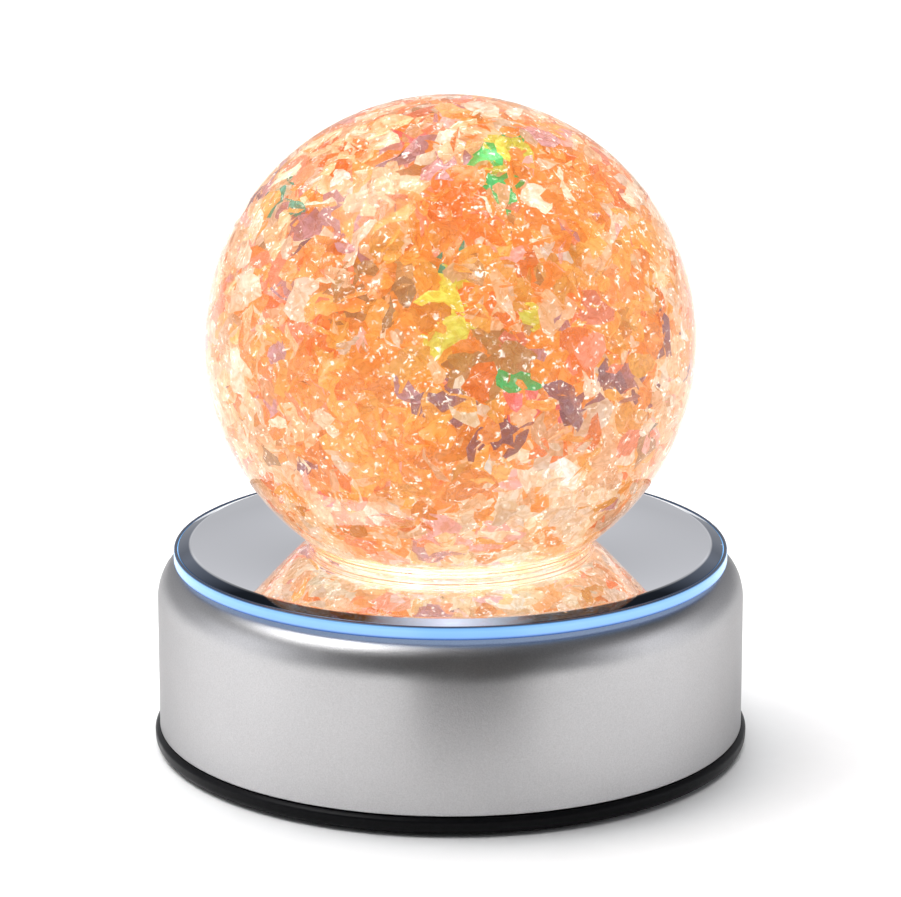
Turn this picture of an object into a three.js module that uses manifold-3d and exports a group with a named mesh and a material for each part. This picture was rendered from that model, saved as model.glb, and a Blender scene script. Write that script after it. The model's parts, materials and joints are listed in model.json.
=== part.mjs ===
// Flake globe on a lighted turntable stand, in millimetres, +Z up.
// The origin is the centre of the stand's footprint, on the surface it stands on.
// A battery or mains driven motor turns the mirror disc, and the globe stands loose on it.

import * as THREE from 'three';
import { mergeVertices } from 'three/addons/utils/BufferGeometryUtils.js';
import Module from 'manifold-3d';

const wasm = await Module();
wasm.setup();

// ---------------------------------------------------------------- driving dimensions

// Overall sizes.
const RIM_RADIUS = 55; // widest part of the bottom tray
const STAND_HEIGHT = 38; // mirror's top face above the surface
const GLOBE_RADIUS = 44.9;
const GLOBE_SINK = 7.3; // how far the sphere would reach below the mirror's top
const FOOT_RING_RADIUS = 26.2; // clear ring that the globe stands on

// Walls and clearances.
const CASING_WALL = 1.4;
const RIM_LEDGE = 0.9; // the rim stands out this far from the casing
const TRAY_FLOOR = 2.4;
const FOOT_STANDOFF = 0.6;
const UPSTAND_HEIGHT = 2.2; // wall inside the tray's edge that locates the casing
const SEAT_GAP = 0.05; // between pieces that rest on each other
const FIT_GAP = 0.3; // between pieces that sit in each other
const RUN_GAP = 0.35; // between the turntable and the casing
const GLOBE_WALL = 2.0;

// Shoulder of the casing: a quarter of an ellipse.
const SHOULDER_WIDTH = 5.0;
const SHOULDER_HEIGHT = 6.6;
const DECK_OPENING_INSET = 7.6; // from the casing's outside to the opening in its deck

// Turntable disc and mirror.
const RING_INSET = 3.1; // from the casing's outside to the glowing ring
const RING_HEIGHT = 2.45;
const RING_LIP = 0.65;
const DISC_STEP = 1.55; // the disc is thicker by this much inside the casing's opening
const MIRROR_THICKNESS = 2.4;
const BEVEL_WIDTH = 2.4;
const BEVEL_DROP = 0.8;
const WINDOW_RADIUS = 17;
const WINDOW_LEDGE = 1.6; // the disc reaches this far under the window lens

// Gear train.
const RING_GEAR_TEETH = 72;
const SPINDLE_PINION_TEETH = 12;
const TURNTABLE_MODULE = 0.8;
const WHEEL_TEETH = 40;
const MOTOR_PINION_TEETH = 10;
const MOTOR_MODULE = 0.6;
const GEAR_BACKLASH = 0.1; // added to each pair's centre distance
const COMPOUND_BEARING = 110; // degrees round from +X
const MOTOR_BEARING = 5; // degrees, from the compound gear's axis to the motor's
const RING_GEAR_FACE = 3.8;
const WHEEL_FACE = 3.0;

// Light tower and bearing.
const JOURNAL_RADIUS = 20.6;
const JOURNAL_CLEARANCE = 0.35;
const THRUST_FLANGE_OVERHANG = 3.2;
const HUB_WALL = 6.3; // of the turntable gear's hub
const LIGHT_BOARD_THICKNESS = 1.2;
const LED_RADIUS = 2.5;
const LED_CIRCLE_RADIUS = 11;
const OUTER_LED_COUNT = 6;
const EDGE_LED_COUNT = 4;

// Cells and their bay.
const CELL_RADIUS = 5.25;
const CELL_LENGTH = 44.5;
const CELL_COUNT = 3;
const CELL_SPACING = 0.5;
const CONTACT_SPACE = 2.6; // at each end of a cell
const BAY_WALL = 1.2;
const BAY_CENTRE_Y = -8;
const DOOR_THICKNESS = 1.3;
const DOOR_LEDGE = 1.6;
const DOOR_TRAVEL = 6;

// Chassis, motor, boards and fasteners.
const CHASSIS_THICKNESS = 1.6;
const CHASSIS_CLEARANCE = 1.0; // above the battery bay
const POST_RADIUS = 3.0;
const SCREW_RADIUS = 1.2;
const SCREW_HEAD_RADIUS = 2.2;
const SCREW_HEAD_HEIGHT = 1.3;
const MOTOR_RADIUS = 10;
const MOTOR_HEIGHT = 10.5;
const SHAFT_RADIUS = 1.0;
const AXLE_RADIUS = 1.5;
const RUBBER_FOOT_RADIUS = 5;
const JACK_BEARING = 50; // degrees round from +X
const SWITCH_BEARING = 132;
const WALL_PART_HEIGHT = 10; // middle of the jack and the switch
const JACK_NOSE_RADIUS = 4;
const JACK_SOCKET_RADIUS = 2.75;
const JACK_PIN_RADIUS = 1;
const JACK_BODY_HALF = 4.5;
const JACK_BODY_LENGTH = 12.2;
const HEAD_POCKET_DEPTH = 1.5;
const HUB_POCKET_DEPTH = 1.6;
const FOOT_POCKET_DEPTH = 0.7;
const BOSS_BEARINGS = [28, 152, 208, 332];
const TRAY_POST_BEARINGS = [20, 160, 200, 340];
const BOARD_POST_BEARINGS = [30, 150, 210, 330];
const CONTROL_BOARD_HALF_LENGTH = 14;
const CONTROL_BOARD_WIDTH = 11;
const OVERCUT = 1; // how far a cutting tool runs past the face that it opens
const SWITCH_TRAVEL = 4;

// Facets round each size of circle.
const LARGE_CIRCLE = 40;
const GLOBE_CIRCLE = 32;
const MIDDLE_CIRCLE = 24;
const SMALL_CIRCLE = 12;
const TINY_CIRCLE = 8;

// ---------------------------------------------------------------- worked-out dimensions

const casingRadius = RIM_RADIUS - RIM_LEDGE;
const casingInner = casingRadius - CASING_WALL;
const trayBottom = FOOT_STANDOFF;
const trayTop = trayBottom + TRAY_FLOOR;
const casingBottom = trayTop + 0.5;

const mirrorBottom = STAND_HEIGHT - MIRROR_THICKNESS;
const ringTop = STAND_HEIGHT - BEVEL_DROP;
const ringBottom = ringTop - RING_HEIGHT;
const ringRadius = casingRadius - RING_INSET;
const mirrorRadius = ringRadius - RING_LIP - FIT_GAP / 2;
const discTop = mirrorBottom - SEAT_GAP;
const discStepBottom = ringBottom - DISC_STEP;
const casingTop = ringBottom - RUN_GAP;
const deckOpening = casingRadius - DECK_OPENING_INSET;
const discStepRadius = deckOpening - 2 * RUN_GAP;

const cellSide = 2 * CELL_RADIUS;
const bayLength = CELL_LENGTH + 2 * CONTACT_SPACE;
const bayWidth = CELL_COUNT * cellSide + (CELL_COUNT + 1) * CELL_SPACING;
const doorBottom = trayBottom + 0.3;
const doorTop = doorBottom + DOOR_THICKNESS;
const cellCentre = doorTop + FIT_GAP + CELL_RADIUS;
const bayRoof = cellCentre + CELL_RADIUS + FIT_GAP;
const bayTop = bayRoof + BAY_WALL;
const chassisBottom = bayTop + CHASSIS_CLEARANCE;
const chassisTop = chassisBottom + CHASSIS_THICKNESS;

const gearBore = JOURNAL_RADIUS + JOURNAL_CLEARANCE;
const hubOuter = gearBore + HUB_WALL;
const ringGearTop = discStepBottom - 2.7;
const ringGearBottom = ringGearTop - RING_GEAR_FACE;
const washerTop = ringGearBottom - RUN_GAP;
const washerBottom = washerTop - 0.8;
const thrustFlangeTop = washerBottom - SEAT_GAP;
const thrustFlangeBottom = thrustFlangeTop - 1.2;
const thrustFlangeRadius = JOURNAL_RADIUS + THRUST_FLANGE_OVERHANG;
const journalTop = discStepBottom - 1.8;
const lightBoardTop = journalTop - FIT_GAP;
const lightBoardBottom = lightBoardTop - LIGHT_BOARD_THICKNESS;
const towerBore = JOURNAL_RADIUS - 3.2;
const lightBoardRadius = JOURNAL_RADIUS - 1.4 - FIT_GAP;
const towerRadius = JOURNAL_RADIUS - 1.2;
const ledTop = discTop - 1;

const wheelBottom = chassisTop + 1.0;
const wheelTop = wheelBottom + WHEEL_FACE;
const compoundDistance = (TURNTABLE_MODULE * (RING_GEAR_TEETH + SPINDLE_PINION_TEETH)) / 2 + GEAR_BACKLASH;
const motorDistance = (MOTOR_MODULE * (WHEEL_TEETH + MOTOR_PINION_TEETH)) / 2 + GEAR_BACKLASH;
const compoundAngle = THREE.MathUtils.degToRad(COMPOUND_BEARING);
const motorAngle = THREE.MathUtils.degToRad(MOTOR_BEARING);
const compoundAxis = polar(compoundDistance, compoundAngle);
const motorAxis = polar(motorDistance, motorAngle).add(compoundAxis);

const controlBoardY = BAY_CENTRE_Y - bayWidth / 2 - BAY_WALL - DOOR_TRAVEL;
const controlBoardBottom = trayTop + 3;
const controlBoardTop = controlBoardBottom + 1.2;

const edgeBoardOuter = deckOpening - 1;
const edgeBoardInner = edgeBoardOuter - 5.6;
const edgeBoardTop = discStepBottom - 2.2;
const edgeBoardBottom = edgeBoardTop - 1.0;
const edgeBoardMiddle = (edgeBoardInner + edgeBoardOuter) / 2;

const bossRadius = 3.4;
const bossCircle = casingInner - bossRadius + 0.6;
const trayPostCircle = casingInner - 10.6;
const chassisRadius = bossCircle - bossRadius - FIT_GAP;
const footCircle = RIM_RADIUS - 11;

const screwHole = SCREW_RADIUS + FIT_GAP;
const headHole = SCREW_HEAD_RADIUS + FIT_GAP;

const globeCentre = STAND_HEIGHT + GLOBE_RADIUS - GLOBE_SINK;
const globeInner = GLOBE_RADIUS - GLOBE_WALL;
const globeFoot = STAND_HEIGHT + SEAT_GAP;
const globeFloor = STAND_HEIGHT + 3.4;
const fillRadius = globeInner - FIT_GAP;
const fillerBore = 9;

// ---------------------------------------------------------------- finishes

const finish = (color, roughness, metalness = 0, extra = {}) =>
  new THREE.MeshStandardMaterial({ color, roughness, metalness, ...extra });

const satinSilver = finish(0xb9b9bb, 0.42, 0.9);
const glossBlack = finish(0x141416, 0.22);
const mattBlack = finish(0x1c1c1e, 0.6);
const blueAcrylic = finish(0x63b4f2, 0.3, 0, { emissive: 0x3b8fe0 });
const mirrorSilver = finish(0xc9cbd2, 0.03, 1);
const clearGlass = finish(0xf6efe9, 0.05, 0, { transparent: true, opacity: 0.3 });
const orangeFlake = finish(0xf4a468, 0.4);
const whitePlastic = finish(0xe9e8e3, 0.5);
const nylon = finish(0xefece0, 0.55);
const boardGreen = finish(0x1f6b3a, 0.5);
const boardWhite = finish(0xeeeeea, 0.5);
const steel = finish(0xa9abae, 0.35, 1);
const brass = finish(0xb99a4e, 0.35, 1);
const cellSleeve = finish(0x3f5a78, 0.4);
const rubber = finish(0x26272a, 0.85);
const diodeWhite = finish(0xffffff, 0.3, 0, { emissive: 0xffffff });
const diodeBlue = finish(0xa9cfff, 0.3, 0, { emissive: 0x4b8dff });

// ---------------------------------------------------------------- geometry helpers

function polar(radius, angle) {
  return new THREE.Vector2(radius * Math.cos(angle), radius * Math.sin(angle));
}

function volumeOf(geometry) {
  const p = geometry.getAttribute('position');
  const index = geometry.getIndex();
  const [a, b, c] = [new THREE.Vector3(), new THREE.Vector3(), new THREE.Vector3()];
  let sum = 0;
  for (let i = 0; i < index.count; i += 3) {
    a.fromBufferAttribute(p, index.getX(i));
    b.fromBufferAttribute(p, index.getX(i + 1));
    c.fromBufferAttribute(p, index.getX(i + 2));
    sum += a.dot(b.cross(c)) / 6;
  }
  return sum;
}

/** A three.js geometry as a manifold solid with its faces pointing out. */
function solid(geometry) {
  geometry.deleteAttribute('normal');
  geometry.deleteAttribute('uv');
  const merged = mergeVertices(geometry, 1e-4);
  const triVerts = new Uint32Array(merged.getIndex().array);
  if (volumeOf(merged) < 0) {
    for (let i = 0; i < triVerts.length; i += 3) {
      [triVerts[i + 1], triVerts[i + 2]] = [triVerts[i + 2], triVerts[i + 1]];
    }
  }
  const kept = [];
  for (let i = 0; i < triVerts.length; i += 3) {
    const [a, b, c] = triVerts.subarray(i, i + 3);
    if (a !== b && b !== c && c !== a) kept.push(a, b, c);
  }
  const vertProperties = new Float32Array(merged.getAttribute('position').array);
  return new wasm.Manifold(new wasm.Mesh({ numProp: 3, vertProperties, triVerts: new Uint32Array(kept) }));
}

function geometryOf(manifold) {
  const mesh = manifold.getMesh();
  const geometry = new THREE.BufferGeometry();
  geometry.setAttribute('position', new THREE.BufferAttribute(new Float32Array(mesh.vertProperties), 3));
  geometry.setIndex(new THREE.BufferAttribute(new Uint32Array(mesh.triVerts), 1));
  geometry.computeVertexNormals();
  return geometry;
}

const join = (first, ...others) => others.reduce((whole, other) => whole.add(other), first);
const cut = (first, ...tools) => tools.reduce((whole, tool) => whole.subtract(tool), first);

/** Turns a closed outline of [radius, height] points round +Z. */
function turned(outline, circle = LARGE_CIRCLE) {
  const points = outline.map(([r, z]) => new THREE.Vector2(r, z));
  const onAxis = points[0].x === 0 && points[points.length - 1].x === 0;
  if (!onAxis) points.push(points[0].clone());
  return solid(new THREE.LatheGeometry(points, circle).rotateX(Math.PI / 2));
}

function disc(radius, low, high, options = {}) {
  const { at = new THREE.Vector2(), circle = SMALL_CIRCLE, topRadius = radius } = options;
  const geometry = new THREE.CylinderGeometry(topRadius, radius, high - low, circle);
  return solid(geometry.rotateX(Math.PI / 2).translate(at.x, at.y, (low + high) / 2));
}

/** A disc with few sides, for a screw hole or a small post. */
const peg = (radius, low, high, at) => disc(radius, low, high, { at, circle: TINY_CIRCLE });

function ring(inner, outer, low, high, circle = LARGE_CIRCLE) {
  return turned([[inner, low], [outer, low], [outer, high], [inner, high]], circle);
}

/** A box between two corners, given as [x, y, z]. */
function block(low, high) {
  const size = high.map((value, i) => value - low[i]);
  const middle = high.map((value, i) => (value + low[i]) / 2);
  return solid(new THREE.BoxGeometry(...size).translate(...middle));
}

/** A cylinder lying along X. */
function rod(radius, left, right, y, z, circle = SMALL_CIRCLE) {
  const geometry = new THREE.CylinderGeometry(radius, radius, right - left, circle);
  return solid(geometry.rotateZ(-Math.PI / 2).translate((left + right) / 2, y, z));
}

/** A spur gear standing on z = low, centred on the origin, with a tooth's middle at the phase angle. */
function spurGear(teeth, module, low, high, phase) {
  const pitch = (module * teeth) / 2;
  const root = pitch - 1.2 * module;
  const tip = pitch + 0.85 * module;
  const step = (2 * Math.PI) / teeth;
  const shape = new THREE.Shape();
  for (let tooth = 0; tooth < teeth; tooth += 1) {
    const middle = phase + tooth * step;
    const corners = [[root, -0.31], [tip, -0.11], [tip, 0.11], [root, 0.31]];
    corners.forEach(([radius, share], corner) => {
      const { x, y } = polar(radius, middle + share * step);
      if (tooth === 0 && corner === 0) shape.moveTo(x, y);
      else shape.lineTo(x, y);
    });
  }
  shape.closePath();
  const geometry = new THREE.ExtrudeGeometry(shape, { depth: high - low, bevelEnabled: false });
  return solid(geometry.translate(0, 0, low));
}

/** Phase that puts a follower's gap opposite the driver's tooth, on the line at this angle. */
function meshedPhase(driverTeeth, driverPhase, followerTeeth, angle) {
  const driverOffset = (angle - driverPhase) / ((2 * Math.PI) / driverTeeth);
  const followerOffset = 0.5 - driverOffset;
  return angle + Math.PI - followerOffset * ((2 * Math.PI) / followerTeeth);
}

/** A pan-head screw: its shank runs from the tip to the seat, with the head beyond the seat. */
function screw(tip, seat, at) {
  const side = Math.sign(seat - tip);
  const inHead = seat + side * SCREW_HEAD_HEIGHT * 0.5;
  const far = seat + side * SCREW_HEAD_HEIGHT;
  const shank = peg(SCREW_RADIUS, Math.min(tip, inHead), Math.max(tip, inHead), at);
  return join(shank, peg(SCREW_HEAD_RADIUS, Math.min(seat, far), Math.max(seat, far), at));
}

/** Evenly spaced bearings, in radians. */
const around = (count, offset = 0) =>
  Array.from({ length: count }, (_, i) => THREE.MathUtils.degToRad(offset + (360 * i) / count));

// ---------------------------------------------------------------- scene graph

const stand = new THREE.Group();
const fixed = new THREE.Group();
const turntable = new THREE.Group();
const globe = new THREE.Group();
globe.position.z = globeCentre;
stand.add(fixed, turntable, globe);

function piece(parent, name, shape, material) {
  const mesh = new THREE.Mesh(geometryOf(shape), material);
  mesh.name = name;
  parent.add(mesh);
  return mesh;
}

// ---------------------------------------------------------------- fixed base

/** Points at the bearings, in degrees, on a circle of the radius. */
const onCircle = (radius, bearings) =>
  bearings.map((degrees) => polar(radius, THREE.MathUtils.degToRad(degrees)));
const trayPosts = onCircle(trayPostCircle, TRAY_POST_BEARINGS);
const bosses = onCircle(bossCircle, BOSS_BEARINGS);
const boardPosts = onCircle(edgeBoardMiddle, BOARD_POST_BEARINGS);
const feet = around(4).map((angle) => polar(footCircle, angle));
const boardStands = [-11, 11].map((x) => new THREE.Vector2(x, controlBoardY - 5.5));
const jackAngle = THREE.MathUtils.degToRad(JACK_BEARING);
const switchAngle = THREE.MathUtils.degToRad(SWITCH_BEARING);

/** Turns a shape that was made at bearing 0 to another bearing round +Z. */
const swung = (shape, angle) => shape.rotate([0, 0, THREE.MathUtils.radToDeg(angle)]);

function makeCasing() {
  const shoulder = [];
  const steps = 4;
  for (let i = 0; i <= steps; i += 1) {
    const t = (Math.PI / 2) * (i / steps);
    shoulder.push([
      casingRadius - SHOULDER_WIDTH + SHOULDER_WIDTH * Math.cos(t),
      casingTop - SHOULDER_HEIGHT + SHOULDER_HEIGHT * Math.sin(t),
    ]);
  }
  const inner = shoulder.map(([r, z]) => [r - CASING_WALL, z - CASING_WALL]).reverse();
  const shell = turned([
    [casingRadius, casingBottom],
    ...shoulder,
    [deckOpening, casingTop],
    [deckOpening, casingTop - CASING_WALL],
    ...inner,
    [casingInner, casingBottom],
  ]);
  const bossTop = casingTop - CASING_WALL - SHOULDER_HEIGHT * 0.4;
  const bossBottom = casingBottom;
  const pillars = bosses.map((at) => disc(bossRadius, bossBottom, bossTop, { at }));
  const inside = disc(casingInner + 0.5, 0, STAND_HEIGHT, { circle: LARGE_CIRCLE });
  const trimmed = join(...pillars).intersect(inside);
  const holes = bosses.map((at) => peg(screwHole, bossBottom - OVERCUT, bossBottom + 10, at));
  const jackBore = rod(JACK_NOSE_RADIUS + FIT_GAP, casingInner - 4, casingRadius + 2, 0, WALL_PART_HEIGHT);
  const jackHole = swung(jackBore, jackAngle);
  const halfSlot = SWITCH_TRAVEL / 2 + 2.5;
  const slotLow = [casingInner - 4, -halfSlot, WALL_PART_HEIGHT - 2];
  const slotHigh = [casingRadius + 2, halfSlot, WALL_PART_HEIGHT + 2];
  const slot = swung(block(slotLow, slotHigh), switchAngle);
  return cut(join(shell, trimmed), ...holes, jackHole, slot);
}

function makeTray() {
  const outline = [
    [0, trayBottom],
    [RIM_RADIUS - 0.8, trayBottom],
    [RIM_RADIUS - 0.3, trayBottom + 0.5],
    [RIM_RADIUS, trayBottom + 1.5],
    [RIM_RADIUS, trayBottom + 2.2],
    [RIM_RADIUS - 0.3, trayTop + 0.1],
    [RIM_RADIUS - 0.6, casingBottom - SEAT_GAP],
    [casingInner - FIT_GAP - 1.4, casingBottom - SEAT_GAP],
    [casingInner - FIT_GAP - 1.4, trayTop],
    [0, trayTop],
  ];
  const upstandOuter = casingInner - FIT_GAP;
  const upstand = ring(upstandOuter - 1.2, upstandOuter, trayTop - 0.5, trayTop + UPSTAND_HEIGHT);
  const notches = bosses.map((at) => disc(bossRadius + 2 * FIT_GAP, trayTop, trayTop + 6, { at }));
  const posts = trayPosts.map((at) => disc(POST_RADIUS, trayTop - 0.5, chassisBottom - SEAT_GAP, { at }));
  const halfLength = bayLength / 2;
  const halfWidth = bayWidth / 2;
  const well = block(
    [-halfLength - BAY_WALL, BAY_CENTRE_Y - halfWidth - BAY_WALL, trayBottom + 0.5],
    [halfLength + BAY_WALL, BAY_CENTRE_Y + halfWidth + BAY_WALL, bayTop],
  );
  const bay = block(
    [-halfLength, BAY_CENTRE_Y - halfWidth, trayBottom - 1],
    [halfLength, BAY_CENTRE_Y + halfWidth, bayRoof],
  );
  const recessHalfLength = halfLength + DOOR_LEDGE + FIT_GAP;
  const recessHalfWidth = halfWidth + DOOR_LEDGE + FIT_GAP;
  const doorRecess = block(
    [-recessHalfLength, BAY_CENTRE_Y - recessHalfWidth - DOOR_TRAVEL, trayBottom - OVERCUT],
    [recessHalfLength, BAY_CENTRE_Y + recessHalfWidth, doorTop + FIT_GAP / 2],
  );
  const low = trayBottom - OVERCUT;
  const screwHoles = bosses.map((at) => peg(screwHole, low, trayTop + OVERCUT, at));
  const headPockets = bosses.map((at) => disc(headHole, low, trayBottom + HEAD_POCKET_DEPTH, { at }));
  const footHole = RUBBER_FOOT_RADIUS + FIT_GAP;
  const footPockets = feet.map((at) => disc(footHole, low, trayBottom + FOOT_POCKET_DEPTH, { at }));
  const pilots = trayPosts.map((at) => peg(screwHole, chassisBottom - 7, chassisBottom + OVERCUT, at));
  const stands = boardStands.map((at) => peg(1.8, trayTop - 0.5, controlBoardBottom - SEAT_GAP, at));
  const whole = join(turned(outline), cut(upstand, ...notches), ...posts, ...stands, well);
  return cut(whole, bay, doorRecess, ...screwHoles, ...headPockets, ...footPockets, ...pilots);
}

function makeChassis() {
  const plate = disc(chassisRadius, chassisBottom, chassisTop, { circle: MIDDLE_CIRCLE });
  const posts = boardPosts.map((at) => peg(2.2, chassisTop - 0.5, edgeBoardBottom - SEAT_GAP, at));
  const low = chassisBottom - OVERCUT;
  const high = chassisTop + OVERCUT;
  const screwHoles = trayPosts.map((at) => peg(screwHole, low, high, at));
  const shaftHole = disc(SHAFT_RADIUS + 1.2, low, high, { at: motorAxis });
  const axleHole = disc(AXLE_RADIUS + FIT_GAP, low, high, { at: compoundAxis });
  const wireHole = disc(towerBore - 6, low, high, { circle: MIDDLE_CIRCLE });
  const bossNotches = bosses.map((at) => disc(bossRadius + FIT_GAP, low, high, { at }));
  return cut(join(plate, ...posts), ...screwHoles, shaftHole, axleHole, wireHole, ...bossNotches);
}

function makeLightTower() {
  return turned(
    [
      [towerBore, chassisTop + SEAT_GAP],
      [towerRadius, chassisTop + SEAT_GAP],
      [towerRadius, thrustFlangeBottom],
      [thrustFlangeRadius, thrustFlangeBottom],
      [thrustFlangeRadius, thrustFlangeTop],
      [JOURNAL_RADIUS, thrustFlangeTop],
      [JOURNAL_RADIUS, journalTop],
      [JOURNAL_RADIUS - 1.4, journalTop],
      [JOURNAL_RADIUS - 1.4, lightBoardBottom - SEAT_GAP],
      [towerBore, lightBoardBottom - SEAT_GAP],
    ],
    MIDDLE_CIRCLE,
  );
}

function makeLamp(radius, low, high, at) {
  const dome = high - radius * 0.8;
  const collar = disc(radius + 0.4, low, low + 0.8, { at });
  const barrel = disc(radius, low + 0.4, dome, { at });
  const tip = disc(radius, dome - 0.02, high, { at, topRadius: radius * 0.45 });
  return join(collar, barrel, tip);
}

piece(fixed, 'casing', makeCasing(), satinSilver);
piece(fixed, 'bottom_tray', makeTray(), glossBlack);
piece(fixed, 'chassis_plate', makeChassis(), mattBlack);
piece(fixed, 'light_tower', makeLightTower(), whitePlastic);
piece(
  fixed,
  'thrust_washer',
  ring(JOURNAL_RADIUS + JOURNAL_CLEARANCE, thrustFlangeRadius, washerBottom, washerTop, MIDDLE_CIRCLE),
  nylon,
);

const traySeat = trayBottom + HEAD_POCKET_DEPTH - SEAT_GAP;
bosses.forEach((at, i) => {
  piece(fixed, `tray_screw_${i + 1}`, screw(trayTop + 7, traySeat, at), steel);
});
trayPosts.forEach((at, i) => {
  piece(fixed, `chassis_screw_${i + 1}`, screw(chassisBottom - 6, chassisTop + SEAT_GAP, at), steel);
});
feet.forEach((at, i) => {
  const padTop = trayBottom + FOOT_POCKET_DEPTH - SEAT_GAP;
  const pad = disc(RUBBER_FOOT_RADIUS - 0.3, 0, padTop, { at, topRadius: RUBBER_FOOT_RADIUS });
  piece(fixed, `rubber_foot_${i + 1}`, pad, rubber);
});

// Light board in the tower, with one lamp in the middle and a circle of them round it.
const lightBoard = cut(
  disc(lightBoardRadius, lightBoardBottom, lightBoardTop, { circle: MIDDLE_CIRCLE }),
  peg(1.5, lightBoardBottom - OVERCUT, lightBoardTop + OVERCUT, new THREE.Vector2(6, 0)),
);
piece(fixed, 'light_board', lightBoard, boardWhite);
const lampFoot = lightBoardTop + SEAT_GAP;
piece(fixed, 'centre_lamp', makeLamp(LED_RADIUS * 1.3, lampFoot, ledTop, new THREE.Vector2()), diodeWhite);
around(OUTER_LED_COUNT).forEach((angle, i) => {
  const at = polar(LED_CIRCLE_RADIUS, angle);
  piece(fixed, `outer_lamp_${i + 1}`, makeLamp(LED_RADIUS, lampFoot, ledTop, at), diodeWhite);
});

// Ring of small lamps that lights the disc's edge.
const edgeBoard = cut(
  ring(edgeBoardInner, edgeBoardOuter, edgeBoardBottom, edgeBoardTop, MIDDLE_CIRCLE),
  peg(1, edgeBoardBottom - OVERCUT, edgeBoardTop + OVERCUT, polar(edgeBoardMiddle, 0)),
);
piece(fixed, 'edge_light_board', edgeBoard, boardWhite);
around(EDGE_LED_COUNT).forEach((angle, i) => {
  const low = [edgeBoardMiddle - 1.4, -1.75, edgeBoardTop + SEAT_GAP];
  const high = [edgeBoardMiddle + 1.4, 1.75, edgeBoardTop + 1.1];
  piece(fixed, `edge_lamp_${i + 1}`, swung(block(low, high), angle), diodeBlue);
});

// Motor can, hung under the chassis plate, and the compound gear's axle.
const motorTop = chassisBottom - SEAT_GAP;
const motorBottom = motorTop - MOTOR_HEIGHT;
const motorCan = cut(
  disc(MOTOR_RADIUS, motorBottom, motorTop, { at: motorAxis, circle: MIDDLE_CIRCLE }),
  disc(SHAFT_RADIUS + FIT_GAP, motorBottom + 2, motorTop + 1, { at: motorAxis }),
);
piece(fixed, 'motor_can', motorCan, steel);
const compoundTop = ringGearTop + 0.4;
const axle = join(
  disc(AXLE_RADIUS, chassisBottom - 0.2, compoundTop + 1.7, { at: compoundAxis }),
  disc(AXLE_RADIUS + 1.6, chassisBottom - 1.0, chassisBottom - SEAT_GAP, { at: compoundAxis }),
);
piece(fixed, 'gear_axle', axle, steel);
const clip = cut(
  disc(AXLE_RADIUS + 1.4, compoundTop + 0.6, compoundTop + 1.1, { at: compoundAxis }),
  disc(AXLE_RADIUS + 0.1, compoundTop, compoundTop + 2, { at: compoundAxis }),
  block(
    [compoundAxis.x, compoundAxis.y - 0.8, compoundTop],
    [compoundAxis.x + 4, compoundAxis.y + 0.8, compoundTop + 2],
  ),
);
piece(fixed, 'axle_clip', clip, steel);

// Control board, on the free side of the battery bay.
const boardHole = new THREE.Vector2(0, controlBoardY - 2);
const controlBoard = cut(
  block(
    [-CONTROL_BOARD_HALF_LENGTH, controlBoardY - CONTROL_BOARD_WIDTH, controlBoardBottom],
    [CONTROL_BOARD_HALF_LENGTH, controlBoardY, controlBoardTop],
  ),
  peg(1.1, controlBoardBottom - OVERCUT, controlBoardTop + OVERCUT, boardHole),
);
piece(fixed, 'control_board', controlBoard, boardGreen);
const chip = block(
  [-5, controlBoardY - 9, controlBoardTop + SEAT_GAP],
  [3, controlBoardY - 4, controlBoardTop + 1.6],
);
piece(fixed, 'control_chip', chip, mattBlack);

// Power jack and slide switch, behind the casing's wall at the back.
const jackFront = casingInner - 0.8;
const jackBody = block(
  [jackFront - JACK_BODY_LENGTH, -JACK_BODY_HALF, WALL_PART_HEIGHT - JACK_BODY_HALF],
  [jackFront, JACK_BODY_HALF, WALL_PART_HEIGHT + JACK_BODY_HALF],
);
const jackNose = rod(JACK_NOSE_RADIUS, casingInner - 2, casingRadius + 0.1, 0, WALL_PART_HEIGHT);
const jackSocket = rod(JACK_SOCKET_RADIUS, casingInner - 8, casingRadius + OVERCUT, 0, WALL_PART_HEIGHT);
const jackPin = rod(JACK_PIN_RADIUS, casingInner - 9, casingRadius - 1, 0, WALL_PART_HEIGHT);
const jack = join(cut(join(jackBody, jackNose), jackSocket), jackPin);
piece(fixed, 'power_jack', swung(jack, jackAngle), mattBlack);

const switchFace = casingInner - 1.6;
const switchHalf = SWITCH_TRAVEL / 2 + 4.5;
const switchBody = cut(
  block(
    [switchFace - 5, -switchHalf, WALL_PART_HEIGHT - 3.4],
    [switchFace, switchHalf, WALL_PART_HEIGHT + 3.4],
  ),
  block(
    [switchFace - 2.5, -SWITCH_TRAVEL / 2 - 2.2, WALL_PART_HEIGHT - 1.7],
    [switchFace + 1, SWITCH_TRAVEL / 2 + 2.2, WALL_PART_HEIGHT + 1.7],
  ),
);
piece(fixed, 'switch_body', swung(switchBody, switchAngle), steel);
const knobStart = -SWITCH_TRAVEL / 2;
const knob = join(
  block(
    [switchFace - 2.2, knobStart - 1.8, WALL_PART_HEIGHT - 1.4],
    [casingRadius + 0.2, knobStart + 1.8, WALL_PART_HEIGHT + 1.4],
  ),
  block(
    [casingRadius, knobStart - 1.4, WALL_PART_HEIGHT - 1.1],
    [casingRadius + 1.2, knobStart + 1.4, WALL_PART_HEIGHT + 1.1],
  ),
);
piece(fixed, 'switch_knob', swung(knob, switchAngle), mattBlack);

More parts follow.
